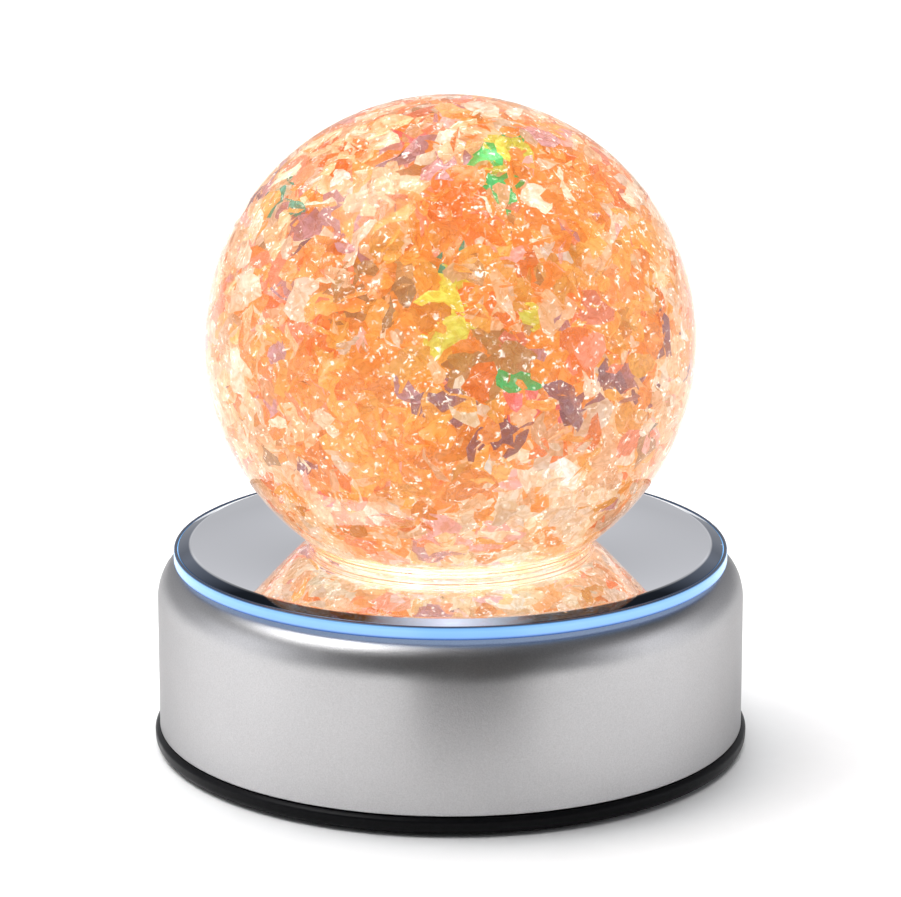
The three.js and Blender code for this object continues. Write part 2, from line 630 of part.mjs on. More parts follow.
// Cells, contacts and the sliding door of the battery bay.
const cellPitch = cellSide + CELL_SPACING;
const firstCellY = BAY_CENTRE_Y - ((CELL_COUNT - 1) / 2) * cellPitch;
const cellRows = Array.from({ length: CELL_COUNT }, (_, i) => firstCellY + i * cellPitch);
cellRows.forEach((y, i) => {
  const flip = i % 2 === 0 ? 1 : -1;
  const half = CELL_LENGTH / 2;
  const can = rod(CELL_RADIUS, -half, half - 1, 0, 0, SMALL_CIRCLE);
  const nub = rod(1.9, half - 1.5, half, 0, 0, TINY_CIRCLE);
  const mesh = piece(fixed, `cell_${i + 1}`, join(can, nub), cellSleeve);
  mesh.position.set(0, y, cellCentre);
  mesh.rotation.z = flip > 0 ? 0 : Math.PI;
});
const bayEnd = bayLength / 2 - FIT_GAP / 2;
const plateThickness = 0.4;
function contactStrip(side, firstRow, lastRow) {
  const outer = side * bayEnd;
  const inner = side * (bayEnd - plateThickness);
  const strip = block(
    [Math.min(outer, inner), cellRows[firstRow] - 3.6, cellCentre - 3.6],
    [Math.max(outer, inner), cellRows[lastRow] + 3.6, cellCentre + 3.6],
  );
  const reach = bayEnd - CELL_LENGTH / 2 - FIT_GAP;
  const tipX = side * (bayEnd - plateThickness / 4 - reach / 2);
  const tips = cellRows.slice(firstRow, lastRow + 1).map((y) => {
    const cone = new THREE.CylinderGeometry(1.2, 2.8, reach - plateThickness / 2, SMALL_CIRCLE);
    cone.rotateZ(side > 0 ? Math.PI / 2 : -Math.PI / 2);
    return solid(cone.translate(tipX, y, cellCentre));
  });
  return join(strip, ...tips);
}
piece(fixed, 'contact_strip_1', contactStrip(1, 0, 1), brass);
piece(fixed, 'contact_strip_2', contactStrip(1, 2, 2), brass);
piece(fixed, 'contact_strip_3', contactStrip(-1, 0, 0), brass);
piece(fixed, 'contact_strip_4', contactStrip(-1, 1, 2), brass);

const doorHalfLength = bayLength / 2 + DOOR_LEDGE;
const doorHalfWidth = bayWidth / 2 + DOOR_LEDGE;
const gripRidge = (i) =>
  block(
    [-6, BAY_CENTRE_Y - doorHalfWidth + 2 + 1.6 * i, doorBottom - 1],
    [6, BAY_CENTRE_Y - doorHalfWidth + 2.7 + 1.6 * i, doorBottom + 0.4],
  );
const batteryDoor = cut(
  block(
    [-doorHalfLength, BAY_CENTRE_Y - doorHalfWidth, doorBottom],
    [doorHalfLength, BAY_CENTRE_Y + doorHalfWidth, doorTop],
  ),
  ...[0, 1, 2].map(gripRidge),
);
piece(fixed, 'battery_door', batteryDoor, glossBlack);

// ---------------------------------------------------------------- gear train

const ringGearPhase = 0;
const pinionPhase = meshedPhase(RING_GEAR_TEETH, ringGearPhase, SPINDLE_PINION_TEETH, compoundAngle);
const wheelPhase = 0;
const motorPinionPhase = meshedPhase(WHEEL_TEETH, wheelPhase, MOTOR_PINION_TEETH, motorAngle);

const compoundBore = AXLE_RADIUS + 0.08;
const compoundBlank = join(
  spurGear(WHEEL_TEETH, MOTOR_MODULE, wheelBottom, wheelTop, wheelPhase),
  spurGear(SPINDLE_PINION_TEETH, TURNTABLE_MODULE, wheelTop - 0.2, compoundTop, pinionPhase),
);
const compoundGear = cut(compoundBlank, disc(compoundBore, wheelBottom - 1, compoundTop + 1));
const compoundMesh = piece(fixed, 'compound_gear', compoundGear, nylon);
compoundMesh.position.set(compoundAxis.x, compoundAxis.y, 0);

const shaftTop = wheelTop + 1.2;
const motorShaft = disc(SHAFT_RADIUS, motorBottom + 2 + FIT_GAP, shaftTop, { at: motorAxis });
piece(fixed, 'motor_shaft', motorShaft, steel);
const motorPinionLow = wheelBottom - 0.4;
const motorPinionHigh = wheelTop + 0.6;
const motorPinion = cut(
  spurGear(MOTOR_PINION_TEETH, MOTOR_MODULE, motorPinionLow, motorPinionHigh, motorPinionPhase),
  disc(SHAFT_RADIUS + SEAT_GAP, motorPinionLow - 1, motorPinionHigh + 1),
);
const motorPinionMesh = piece(fixed, 'motor_pinion', motorPinion, brass);
motorPinionMesh.position.set(motorAxis.x, motorAxis.y, 0);

// ---------------------------------------------------------------- turntable

const hubScrews = around(3, 30).map((angle) => polar((gearBore + hubOuter) / 2, angle));
const hubTop = discStepBottom - SEAT_GAP;
const hubPocketTop = ringGearBottom + HUB_POCKET_DEPTH;
const hubBody = disc(hubOuter, ringGearTop - 0.5, hubTop, { circle: MIDDLE_CIRCLE });
const turntableGear = cut(
  join(spurGear(RING_GEAR_TEETH, TURNTABLE_MODULE, ringGearBottom, ringGearTop, ringGearPhase), hubBody),
  disc(gearBore, ringGearBottom - 1, hubTop + 1, { circle: MIDDLE_CIRCLE }),
  ...hubScrews.map((at) => peg(screwHole, ringGearBottom - OVERCUT, hubTop + OVERCUT, at)),
  ...hubScrews.map((at) => disc(headHole, ringGearBottom - OVERCUT, hubPocketTop, { at })),
);
piece(turntable, 'turntable_gear', turntableGear, nylon);

const discBody = turned([
  [WINDOW_RADIUS - WINDOW_LEDGE, discStepBottom],
  [discStepRadius, discStepBottom],
  [discStepRadius, ringBottom],
  [ringRadius - 0.3, ringBottom],
  [ringRadius, ringBottom + 0.3],
  [ringRadius, ringTop - 0.3],
  [ringRadius - 0.25, ringTop],
  [ringRadius - RING_LIP, ringTop],
  [ringRadius - RING_LIP, discTop],
  [WINDOW_RADIUS - WINDOW_LEDGE, discTop],
]);
const discPilots = hubScrews.map((at) => peg(screwHole, discStepBottom - OVERCUT, discTop - 0.6, at));
piece(turntable, 'turntable_disc', cut(discBody, ...discPilots), blueAcrylic);
hubScrews.forEach((at, i) => {
  const shape = screw(discTop - 0.9, hubPocketTop - SEAT_GAP, at);
  piece(turntable, `hub_screw_${i + 1}`, shape, steel);
});

const mirror = turned([
  [WINDOW_RADIUS + FIT_GAP, mirrorBottom],
  [mirrorRadius, mirrorBottom],
  [mirrorRadius, STAND_HEIGHT - BEVEL_DROP],
  [mirrorRadius - BEVEL_WIDTH, STAND_HEIGHT],
  [WINDOW_RADIUS + FIT_GAP, STAND_HEIGHT],
]);
piece(turntable, 'mirror', mirror, mirrorSilver);
const windowLens = turned(
  [
    [0, mirrorBottom],
    [WINDOW_RADIUS - 0.4, mirrorBottom],
    [WINDOW_RADIUS, mirrorBottom + 0.4],
    [WINDOW_RADIUS, STAND_HEIGHT - 0.1],
    [0, STAND_HEIGHT - 0.1],
  ],
  MIDDLE_CIRCLE,
);
piece(turntable, 'window_lens', windowLens, clearGlass);

// ---------------------------------------------------------------- globe

/** Points on an arc about the globe's centre, between two heights measured from that centre. */
function arcPoints(radius, from, to, steps) {
  const start = Math.asin(from / radius);
  const end = Math.asin(to / radius);
  return Array.from({ length: steps + 1 }, (_, i) => {
    const t = start + ((end - start) * i) / steps;
    return [i === steps && to === radius ? 0 : radius * Math.cos(t), radius * Math.sin(t)];
  });
}

const footBottom = globeFoot - globeCentre;
const footTop = -Math.sqrt(GLOBE_RADIUS ** 2 - FOOT_RING_RADIUS ** 2);
const cavityBottom = globeFloor - globeCentre;
const footCurve = Math.max(footBottom + 0.9, footTop - 0.3);
const shell = turned(
  [
    [fillerBore, footBottom],
    [FOOT_RING_RADIUS - 0.4, footBottom],
    [FOOT_RING_RADIUS, footBottom + 0.4],
    [FOOT_RING_RADIUS, footCurve],
    ...arcPoints(GLOBE_RADIUS, footTop + 0.9, GLOBE_RADIUS, 13),
    ...arcPoints(globeInner, cavityBottom, globeInner, 10).reverse(),
    [fillerBore, cavityBottom],
  ].filter(([r, z], i, all) => i === 0 || Math.hypot(r - all[i - 1][0], z - all[i - 1][1]) > 1e-6),
  GLOBE_CIRCLE,
);
piece(globe, 'globe_shell', shell, clearGlass);

const fillBottom = cavityBottom + FIT_GAP;
const fillOutline = [[0, fillBottom], ...arcPoints(fillRadius, fillBottom, fillRadius, 10)];
const filling = turned(fillOutline, GLOBE_CIRCLE);
piece(globe, 'flake_filling', filling, orangeFlake);

const plugTop = fillerBore - 2 * FIT_GAP;
const stopper = join(
  disc(fillerBore - FIT_GAP, footBottom + 0.2, cavityBottom, { topRadius: plugTop }),
  disc(fillerBore - 2.5, cavityBottom - 0.1, cavityBottom + FIT_GAP - 0.1),
);
piece(globe, 'filler_stopper', stopper, clearGlass);

export default stand;
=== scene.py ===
"""Looks of a flake globe that stands on a lighted mirror turntable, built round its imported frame."""

import json
import logging
import math
from collections.abc import Callable, Iterable, Sequence
from dataclasses import dataclass, field
from enum import Enum

import bmesh
import bpy
import numpy as np
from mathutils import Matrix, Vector


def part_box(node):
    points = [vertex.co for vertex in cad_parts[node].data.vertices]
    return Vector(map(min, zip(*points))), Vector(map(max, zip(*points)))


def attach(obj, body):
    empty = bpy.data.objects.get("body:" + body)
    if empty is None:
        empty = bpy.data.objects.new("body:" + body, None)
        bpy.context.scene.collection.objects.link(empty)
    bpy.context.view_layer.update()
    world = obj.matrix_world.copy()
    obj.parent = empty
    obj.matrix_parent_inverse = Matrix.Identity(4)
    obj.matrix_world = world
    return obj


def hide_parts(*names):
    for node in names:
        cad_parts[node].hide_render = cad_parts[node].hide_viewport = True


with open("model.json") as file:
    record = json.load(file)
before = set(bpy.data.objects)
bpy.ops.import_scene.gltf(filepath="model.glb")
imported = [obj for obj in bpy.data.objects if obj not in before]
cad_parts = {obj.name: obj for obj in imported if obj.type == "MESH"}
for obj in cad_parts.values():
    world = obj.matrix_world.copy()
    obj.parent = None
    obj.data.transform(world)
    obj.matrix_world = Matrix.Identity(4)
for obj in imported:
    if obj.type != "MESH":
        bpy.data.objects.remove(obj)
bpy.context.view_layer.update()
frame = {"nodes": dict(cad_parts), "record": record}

log = logging.getLogger("flake_globe")

MM = 0.001
SEED = 4180
SHUT = 60.0  # an inset, in millimetres, that shrinks any layer of a loft to a point
Colour = tuple[float, float, float]
Place = tuple[float, float, float]
Profile = np.ndarray
Piece = bpy.types.Object
Material = bpy.types.Material
Tree = bpy.types.NodeTree
Node = bpy.types.Node
Socket = bpy.types.NodeSocket


def linear(red: int, green: int, blue: int) -> Colour:
    """Screen values from 0 to 255 as linear light, by the sRGB curve."""

    def channel(value: int) -> float:
        """One channel through the sRGB curve."""
        share = value / 255
        return share / 12.92 if share <= 0.04045 else ((share + 0.055) / 1.055) ** 2.4

    return channel(red), channel(green), channel(blue)


# ------------------------------------------------------------------ surfaces worked out with numpy


@dataclass
class Surface:
    """Points and the polygons between them, gathered from one or more grids."""

    points: np.ndarray = field(default_factory=lambda: np.zeros((0, 3)))
    polygons: list[np.ndarray] = field(default_factory=list)

    def add(self, points: np.ndarray, polygons: Iterable[np.ndarray]) -> "Surface":
        """Appends a grid.

        Args:
            points: Its points, n by 3, in metres.
            polygons: Arrays of corner numbers into those points.

        Returns:
            This surface, so that calls can be chained.
        """
        start = len(self.points)
        self.points = np.vstack([self.points, points])
        self.polygons += [np.asarray(polygon) + start for polygon in polygons]
        return self

    def moved(self, offset: Sequence[float]) -> "Surface":
        """A copy of this surface, shifted by the offset."""
        return Surface(self.points + np.asarray(offset), [p.copy() for p in self.polygons])

    def turned(self, bearing: float) -> "Surface":
        """A copy turned round +Z: x and y are mixed by the bearing's cosine and sine."""
        c, s = math.cos(bearing), math.sin(bearing)
        spin = np.array([[c, s, 0.0], [-s, c, 0.0], [0.0, 0.0, 1.0]])
        return Surface(self.points @ spin, [p.copy() for p in self.polygons])


def grid_quads(rows: int, columns: int, wrap_columns: bool = True) -> np.ndarray:
    """Corner numbers of the quads of a grid whose points run row by row.

    Args:
        rows: Number of rows of points.
        columns: Number of points in a row.
        wrap_columns: Whether the last column joins the first.

    Returns:
        One row of four corner numbers for each quad.
    """
    row = np.arange(rows - 1)[:, None]
    column = np.arange(columns if wrap_columns else columns - 1)[None, :]
    following = (column + 1) % columns
    low, high = row * columns, (row + 1) * columns
    return np.stack([low + column, low + following, high + following, high + column], axis=-1).reshape(-1, 4)


def rounded(corners: Sequence[tuple[float, float, float]], steps: int = 4, closed: bool = True) -> Profile:
    """An outline of (radius, height, fillet) corners with its corners rounded.

    Each corner becomes a parabola that leaves the two edges a fillet's length from the corner C:
    (1 - t)^2 A + 2 t (1 - t) C + t^2 B.

    Args:
        corners: The outline's corners, in millimetres.
        steps: Points along each rounded corner, less one.
        closed: Whether the last corner joins the first.

    Returns:
        The outline as n by 2 points, in millimetres, ending where it began if it is closed.
    """
    places = np.array([(r, z) for r, z, _ in corners], float)
    t = np.linspace(0, 1, steps + 1)[:, None]
    outline = []
    for i, (_, _, fillet) in enumerate(corners):
        here, before, after = places[i], places[i - 1], places[(i + 1) % len(places)]
        if fillet <= 0 or (not closed and i in (0, len(places) - 1)):
            outline.append(here[None, :])
            continue
        back, ahead = before - here, after - here
        reach = min(fillet, 0.49 * np.linalg.norm(back), 0.49 * np.linalg.norm(ahead))
        start = here + back / np.linalg.norm(back) * reach
        end = here + ahead / np.linalg.norm(ahead) * reach
        outline.append((1 - t) ** 2 * start + 2 * t * (1 - t) * here + t**2 * end)
    path = np.vstack(outline)
    return np.vstack([path, path[:1]]) if closed else path


def revolve(outline: Profile, segments: int) -> Surface:
    """Turns an outline round +Z: x = r cos a, y = r sin a, z = height, for equal steps of the angle a.

    Args:
        outline: Radius and height of each point, in millimetres.
        segments: Steps round the circle.

    Returns:
        The surface, in metres; its coincident points are welded when it becomes a piece.
    """
    angle = np.linspace(0, 2 * np.pi, segments, endpoint=False)
    radius, height = outline[:, :1] * MM, outline[:, 1:] * MM
    points = np.stack([radius * np.cos(angle), radius * np.sin(angle), height + 0 * angle], axis=-1)
    return Surface().add(points.reshape(-1, 3), [grid_quads(len(outline), segments)])


def along_x(surface: Surface) -> Surface:
    """Lays a surface made round +Z on its side, so that its height runs along +X."""
    x, y, z = surface.points.T
    return Surface(np.stack([z, y, -x], axis=-1), surface.polygons)


def cushion_loft(
    half: tuple[float, float],
    layers: Sequence[tuple[float, float]],
    power: float,
    segments: int = 64,
    relief: Callable[[np.ndarray, np.ndarray], np.ndarray] | None = None,
) -> Surface:
    """A block whose outline is a rounded rectangle, lofted through layers and closed at both ends.

    The outline is the curve |x / a|^p + |y / b|^p = 1, with a and b shrunk by each layer's inset.

    Args:
        half: Half the block's size along x and y, in millimetres.
        layers: Height and inset of each layer, from the bottom up; the end layers shrink to a point.
        power: The curve's power p: 2 is an ellipse, and 12 is nearly a rectangle.
        segments: Points round the outline.
        relief: Height to add at x and y, in millimetres, on the layers after the middle one.

    Returns:
        The surface, in metres.
    """
    angle = np.linspace(0, 2 * np.pi, segments, endpoint=False)
    c, s = np.cos(angle), np.sin(angle)
    reach = (np.abs(c) ** power + np.abs(s) ** power) ** (-1 / power)
    rows = []
    for number, (height, inset) in enumerate(layers):
        x = np.clip(half[0] - inset, 0, None) * c * reach
        y = np.clip(half[1] - inset, 0, None) * s * reach
        z = np.full_like(x, height)
        if relief is not None and number > len(layers) // 2:
            z = z + relief(x, y)
        rows.append(np.stack([x, y, z], axis=-1))
    points = np.concatenate(rows) * MM
    return Surface().add(points, [grid_quads(len(layers), segments)])


def slab(half: tuple[float, float], low: float, high: float, power: float, segments: int) -> Surface:
    """A plain block between two heights, its outline a rounded rectangle as in cushion_loft."""
    return cushion_loft(half, [(low, SHUT), (low, 0), (high, 0), (high, SHUT)], power, segments)


def outwards(surface: Surface, distance: float, shift: float = 0.0) -> Surface:
    """Turns a block made round +Z to point along +X, from a distance out and shifted along +Y, in metres."""
    x, y, z = surface.points.T
    return Surface(np.stack([z + distance, y + shift, x], axis=-1), surface.polygons)


def footprint(node: str) -> Place:
    """The middle of a CAD node, at its lowest height, in metres."""
    low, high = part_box(node)
    middle = (low + high) / 2
    return middle.x, middle.y, low.z


# ------------------------------------------------------------------ pieces


def mesh_from(name: str, surface: Surface) -> bpy.types.Mesh:
    """Puts a surface into a mesh with foreach_set."""
    mesh = bpy.data.meshes.new(name)
    sizes = np.concatenate([np.full(len(p), p.shape[1], np.int32) for p in surface.polygons])
    corners = np.concatenate([p.reshape(-1) for p in surface.polygons]).astype(np.int32)
    mesh.vertices.add(len(surface.points))
    mesh.vertices.foreach_set("co", surface.points.astype(np.float32).reshape(-1))
    mesh.loops.add(len(corners))
    mesh.loops.foreach_set("vertex_index", corners)
    mesh.polygons.add(len(sizes))
    mesh.polygons.foreach_set("loop_start", np.concatenate([[0], np.cumsum(sizes)[:-1]]).astype(np.int32))
    mesh.update(calc_edges=True)
    mesh.validate()
    return mesh


def weld(mesh: bpy.types.Mesh) -> None:
    """Merges coincident points, drops collapsed faces and turns every face outwards."""
    work = bmesh.new()
    work.from_mesh(mesh)
    bmesh.ops.remove_doubles(work, verts=work.verts, dist=1e-7)
    bmesh.ops.dissolve_degenerate(work, edges=work.edges, dist=1e-8)
    bmesh.ops.recalc_face_normals(work, faces=work.faces)
    work.to_mesh(mesh)
    work.free()


def shade(mesh: bpy.types.Mesh, sharp_degrees: float = 38) -> None:
    """Smooth shading, with edges sharper than the angle kept hard."""
    mesh.polygons.foreach_set("use_smooth", np.ones(len(mesh.polygons), bool))
    mesh.set_sharp_from_angle(angle=math.radians(sharp_degrees))
    mesh.update()


def place(name: str, surface: Surface, closed: bool = True) -> Piece:
    """Makes a piece from a surface, at the origin and unturned.

    Args:
        name: The piece's name.
        surface: Its points and faces, in the frame's own place.
        closed: Whether to weld it and turn its faces outwards.

    Returns:
        The new object.
    """
    mesh = mesh_from(name, surface)
    if closed:
        weld(mesh)
    shade(mesh)
    piece = bpy.data.objects.new(name, mesh)
    bpy.context.scene.collection.objects.link(piece)
    return piece


def carve(piece: Piece, cutters: Sequence[Surface]) -> None:
    """Cuts each cutter's shape out of a piece, for good."""
    for number, cutter in enumerate(cutters):
        tool = place(f"cutter_{number}", cutter)
        cut = piece.modifiers.new("cut", "BOOLEAN")
        cut.operation = "DIFFERENCE"
        cut.solver = "EXACT"
        cut.object = tool
        view = bpy.context.evaluated_depsgraph_get()
        view.update()
        result = bpy.data.meshes.new_from_object(piece.evaluated_get(view))
        piece.modifiers.remove(cut)
        old, piece.data = piece.data, result
        bpy.data.meshes.remove(old)
        bpy.data.objects.remove(tool)
    shade(piece.data)


def settle(
    piece: Piece,
    body: str,
    slot: "Slot",
    nodes: Sequence[str] = (),
    material: Material | None = None,
) -> None:
    """Dresses a finished piece and tells the frame where it belongs.

    Args:
        piece: The finished object.
        body: The CAD body that it rides on.
        slot: The record's material slot that it takes its finish from.
        nodes: The CAD nodes that it stands for.
        material: Its material, where it isn't the slot's own.
    """
    piece.data.materials.clear()
    piece.data.materials.append(material or MATERIALS[slot])
    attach(piece, body)
    if nodes:
        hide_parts(*nodes)
    log.info("%s: %d faces on %s", piece.name, len(piece.data.polygons), body)


# ------------------------------------------------------------------ shader building


class Wiring:
    """A short way to add nodes to a tree and join them."""

    def __init__(self, tree: Tree) -> None:
        """Starts on an empty tree."""
        self.tree = tree
        self.tree.nodes.clear()

    def node(self, kind: str, settings: dict | None = None, **inputs: object) -> Node:
        """Adds a node.

        Args:
            kind: The node's type, without its ShaderNode prefix.
            settings: Properties to set on the node itself.
            **inputs: A value or a socket for each input, its spaces written as underscores.

        Returns:
            The new node.
        """
        made = self.tree.nodes.new(f"ShaderNode{kind}" if not kind.startswith("Node") else kind)
        for key, value in (settings or {}).items():
            setattr(made, key, value)
        for key, value in inputs.items():
            self.feed(made.inputs[key.replace("_", " ")], value)
        return made

    def feed(self, socket: Socket, value: object) -> None:
        """Links a socket to another, or sets its value."""
        if isinstance(value, Socket):
            self.tree.links.new(value, socket)
        elif isinstance(value, tuple) and len(value) == 3 and socket.type == "RGBA":
            socket.default_value = (*value, 1.0)
        else:
            socket.default_value = value

    def sum_of(self, operation: str, first: object, second: object) -> Socket:
        """A Math node's result."""
        made = self.node("Math", {"operation": operation})
        self.feed(made.inputs[0], first)
        self.feed(made.inputs[1], second)
        return made.outputs[0]

    def ramp(self, value: Socket, low: float, high: float, to_low: float, to_high: float) -> Socket:
        """A value mapped from one range to another, and held at its ends."""
        made = self.node("MapRange", Value=value, From_Min=low, From_Max=high, To_Min=to_low, To_Max=to_high)
        return made.outputs["Result"]

    def blend(self, share: object, first: object, second: object, mode: str = "MIX") -> Socket:
        """Two colours mixed by a share."""
        made = self.node("Mix", {"data_type": "RGBA", "blend_type": mode})
        self.feed(made.inputs["Factor"], share)
        self.feed(made.inputs[6], first)
        self.feed(made.inputs[7], second)
        return made.outputs[2]

    def scaled(self, colour: object, by: object) -> Socket:
        """A colour multiplied by another, channel by channel."""
        return self.blend(1.0, colour, by, "MULTIPLY")

    def surface(self, shader: Socket) -> None:
        """Joins a shader to the material's output."""
        self.feed(self.node("OutputMaterial").inputs["Surface"], shader)

    def group(self, tree: Tree, **inputs: object) -> Node:
        """Places a shared node group."""
        made = self.tree.nodes.new("ShaderNodeGroup")
        made.node_tree = tree
        for key, value in inputs.items():
            self.feed(made.inputs[key.replace("_", " ")], value)
        return made


def start_material(name: str) -> tuple[Material, Wiring, Socket]:
    """Starts a node material.

    Args:
        name: The material's name.

    Returns:
        The material, its wiring, and the place on the piece that its patterns are laid out by.
    """
    material = bpy.data.materials.new(name)
    material.use_nodes = True
    wiring = Wiring(material.node_tree)
    return material, wiring, wiring.node("TexCoord").outputs["Object"]


def shared_group(
    name: str, inputs: Sequence[str], outputs: Sequence[str]
) -> tuple[Tree, Wiring, Node, Node]:
    """Starts a shader node group with a Vector input, plain number inputs and plain number outputs.

    Args:
        name: The group's name.
        inputs: Names of its number inputs.
        outputs: Names of its number outputs.

    Returns:
        The group's tree, its wiring, its input node and its output node.
    """
    tree = bpy.data.node_groups.new(name, "ShaderNodeTree")
    tree.interface.new_socket("Vector", in_out="INPUT", socket_type="NodeSocketVector")
    for label in inputs:
        tree.interface.new_socket(label, in_out="INPUT", socket_type="NodeSocketFloat")
    for label in outputs:
        tree.interface.new_socket(label, in_out="OUTPUT", socket_type="NodeSocketFloat")
    wiring = Wiring(tree)
    return tree, wiring, wiring.node("NodeGroupInput"), wiring.node("NodeGroupOutput")


def grain_group() -> Tree:
    """Fine sand grain: two noises, one 2.3 times finer, summed into a height and a shade from 0 to 1."""
    tree, wiring, into, out = shared_group("fine_grain", ["Scale"], ["Height", "Shade"])
    coarse = wiring.node("TexNoise", Vector=into.outputs["Vector"], Scale=into.outputs["Scale"], Detail=2.0)
    finer = wiring.sum_of("MULTIPLY", into.outputs["Scale"], 2.3)
    fine = wiring.node("TexNoise", Vector=into.outputs["Vector"], Scale=finer, Detail=1.0)
    height = wiring.sum_of("ADD", coarse.outputs[0], wiring.sum_of("MULTIPLY", fine.outputs[0], 0.5))
    wiring.feed(out.inputs["Height"], height)
    wiring.feed(out.inputs["Shade"], wiring.ramp(height, 0.5, 1.0, 0.0, 1.0))
    return tree


def smudge_group() -> Tree:
    """Handling marks: a slow, twisted noise, mapped to a roughness between Low and High."""
    tree, wiring, into, out = shared_group("smudge", ["Scale", "Low", "High"], ["Roughness", "Mask"])
    place_in, scale = into.outputs["Vector"], into.outputs["Scale"]
    patch = wiring.node("TexNoise", Vector=place_in, Scale=scale, Detail=4.0, Distortion=0.8)
    mask = wiring.ramp(patch.outputs[0], 0.35, 0.68, 0.0, 1.0)
    span = wiring.sum_of("SUBTRACT", into.outputs["High"], into.outputs["Low"])
    rise = wiring.sum_of("MULTIPLY", span, mask)
    wiring.feed(out.inputs["Roughness"], wiring.sum_of("ADD", into.outputs["Low"], rise))
    wiring.feed(out.inputs["Mask"], mask)
    return tree


def speck_group() -> Tree:
    """Dust specks: small round cells, kept where a second random value is under Amount."""
    tree, wiring, into, out = shared_group("dust_specks", ["Scale", "Amount"], ["Mask"])
    cells = wiring.node("TexVoronoi", Vector=into.outputs["Vector"], Scale=into.outputs["Scale"])
    near = wiring.ramp(cells.outputs["Distance"], 0.06, 0.16, 1.0, 0.0)
    pick = wiring.node("SeparateColor", Color=cells.outputs["Color"])
    chosen = wiring.sum_of("LESS_THAN", pick.outputs[0], into.outputs["Amount"])
    wiring.feed(out.inputs["Mask"], wiring.sum_of("MULTIPLY", near, chosen))
    return tree


GRAIN = grain_group()
SMUDGE = smudge_group()
SPECKS = speck_group()


# ------------------------------------------------------------------ finishes


@dataclass(frozen=True)
class Finish:
    """An opaque finish with grain, handling marks and dust."""

    name: str
    colour: Colour
    roughness: float
    metallic: float = 0.0
    spread: float = 0.05
    grain: float = 1500.0
    depth: float = 0.1
    mottle: float = 0.08
    coat: float = 0.0
    dust: float = 0.02
    shine: float = 0.5
    edge: float = 1.0
    glow: float = 0.0

    def build(self) -> Material:
        """Makes the material.

        Returns:
            A Principled material whose colour, roughness and normal vary over the surface.
        """
        material, wiring, where = start_material(self.name)
        grain = wiring.group(GRAIN, Vector=where, Scale=self.grain)
        smoothest, roughest = max(self.roughness - self.spread, 0.02), self.roughness + self.spread
        smudge = wiring.group(SMUDGE, Vector=where, Scale=60.0, Low=smoothest, High=roughest)
        specks = wiring.group(SPECKS, Vector=where, Scale=420.0, Amount=self.dust)
        dark = tuple(c * (1 - self.mottle) for c in self.colour)
        light = tuple(min(c * (1 + self.mottle), 1.0) for c in self.colour)
        colour = wiring.blend(grain.outputs["Shade"], dark, light)
        dusty = tuple(0.75 * c + 0.25 * 0.6 for c in self.colour)
        colour = wiring.blend(specks.outputs["Mask"], colour, dusty)
        bump = wiring.node("Bump", Strength=self.depth, Distance=0.2 * MM, Height=grain.outputs["Height"])
        shader = wiring.node(
            "BsdfPrincipled",
            Base_Color=colour,
            Metallic=self.metallic,
            Roughness=smudge.outputs["Roughness"],
            Normal=bump.outputs[0],
            Coat_Weight=self.coat,
            Coat_Roughness=0.08,
            Specular_IOR_Level=self.shine,
            Specular_Tint=(self.edge, self.edge, self.edge),
        )
        if self.glow > 0:
            wiring.feed(shader.inputs["Emission Color"], colour)
            shader.inputs["Emission Strength"].default_value = self.glow
        wiring.surface(shader.outputs[0])
        return material


@dataclass(frozen=True)
class ClearFinish:
    """Clear moulded plastic or glass that lets lamps through."""

    name: str
    colour: Colour
    index: float
    roughness: float = 0.0
    ripple: float = 0.0

    def build(self) -> Material:
        """Makes the material: glass for sight, see-through for lamps, with a faint ripple in its surface."""
        material, wiring, where = start_material(self.name)
        rough = self.roughness
        smudge = wiring.group(SMUDGE, Vector=where, Scale=45.0, Low=rough, High=rough + 0.02)
        bump = wiring.node("Bump", Strength=self.ripple, Distance=0.2 * MM, Height=smudge.outputs["Mask"])
        glass = wiring.node(
            "BsdfPrincipled",
            Base_Color=self.colour,
            Transmission_Weight=1.0,
            IOR=self.index,
            Roughness=smudge.outputs["Roughness"],
            Normal=bump.outputs[0],
        )
        lamp_way = wiring.node("BsdfTransparent", Color=self.colour)
        path = wiring.node("LightPath")
        mixed = wiring.node("MixShader")
        wiring.feed(mixed.inputs[0], path.outputs["Is Shadow Ray"])
        wiring.feed(mixed.inputs[1], glass.outputs[0])
        wiring.feed(mixed.inputs[2], lamp_way.outputs[0])
        wiring.surface(mixed.outputs[0])
        return material


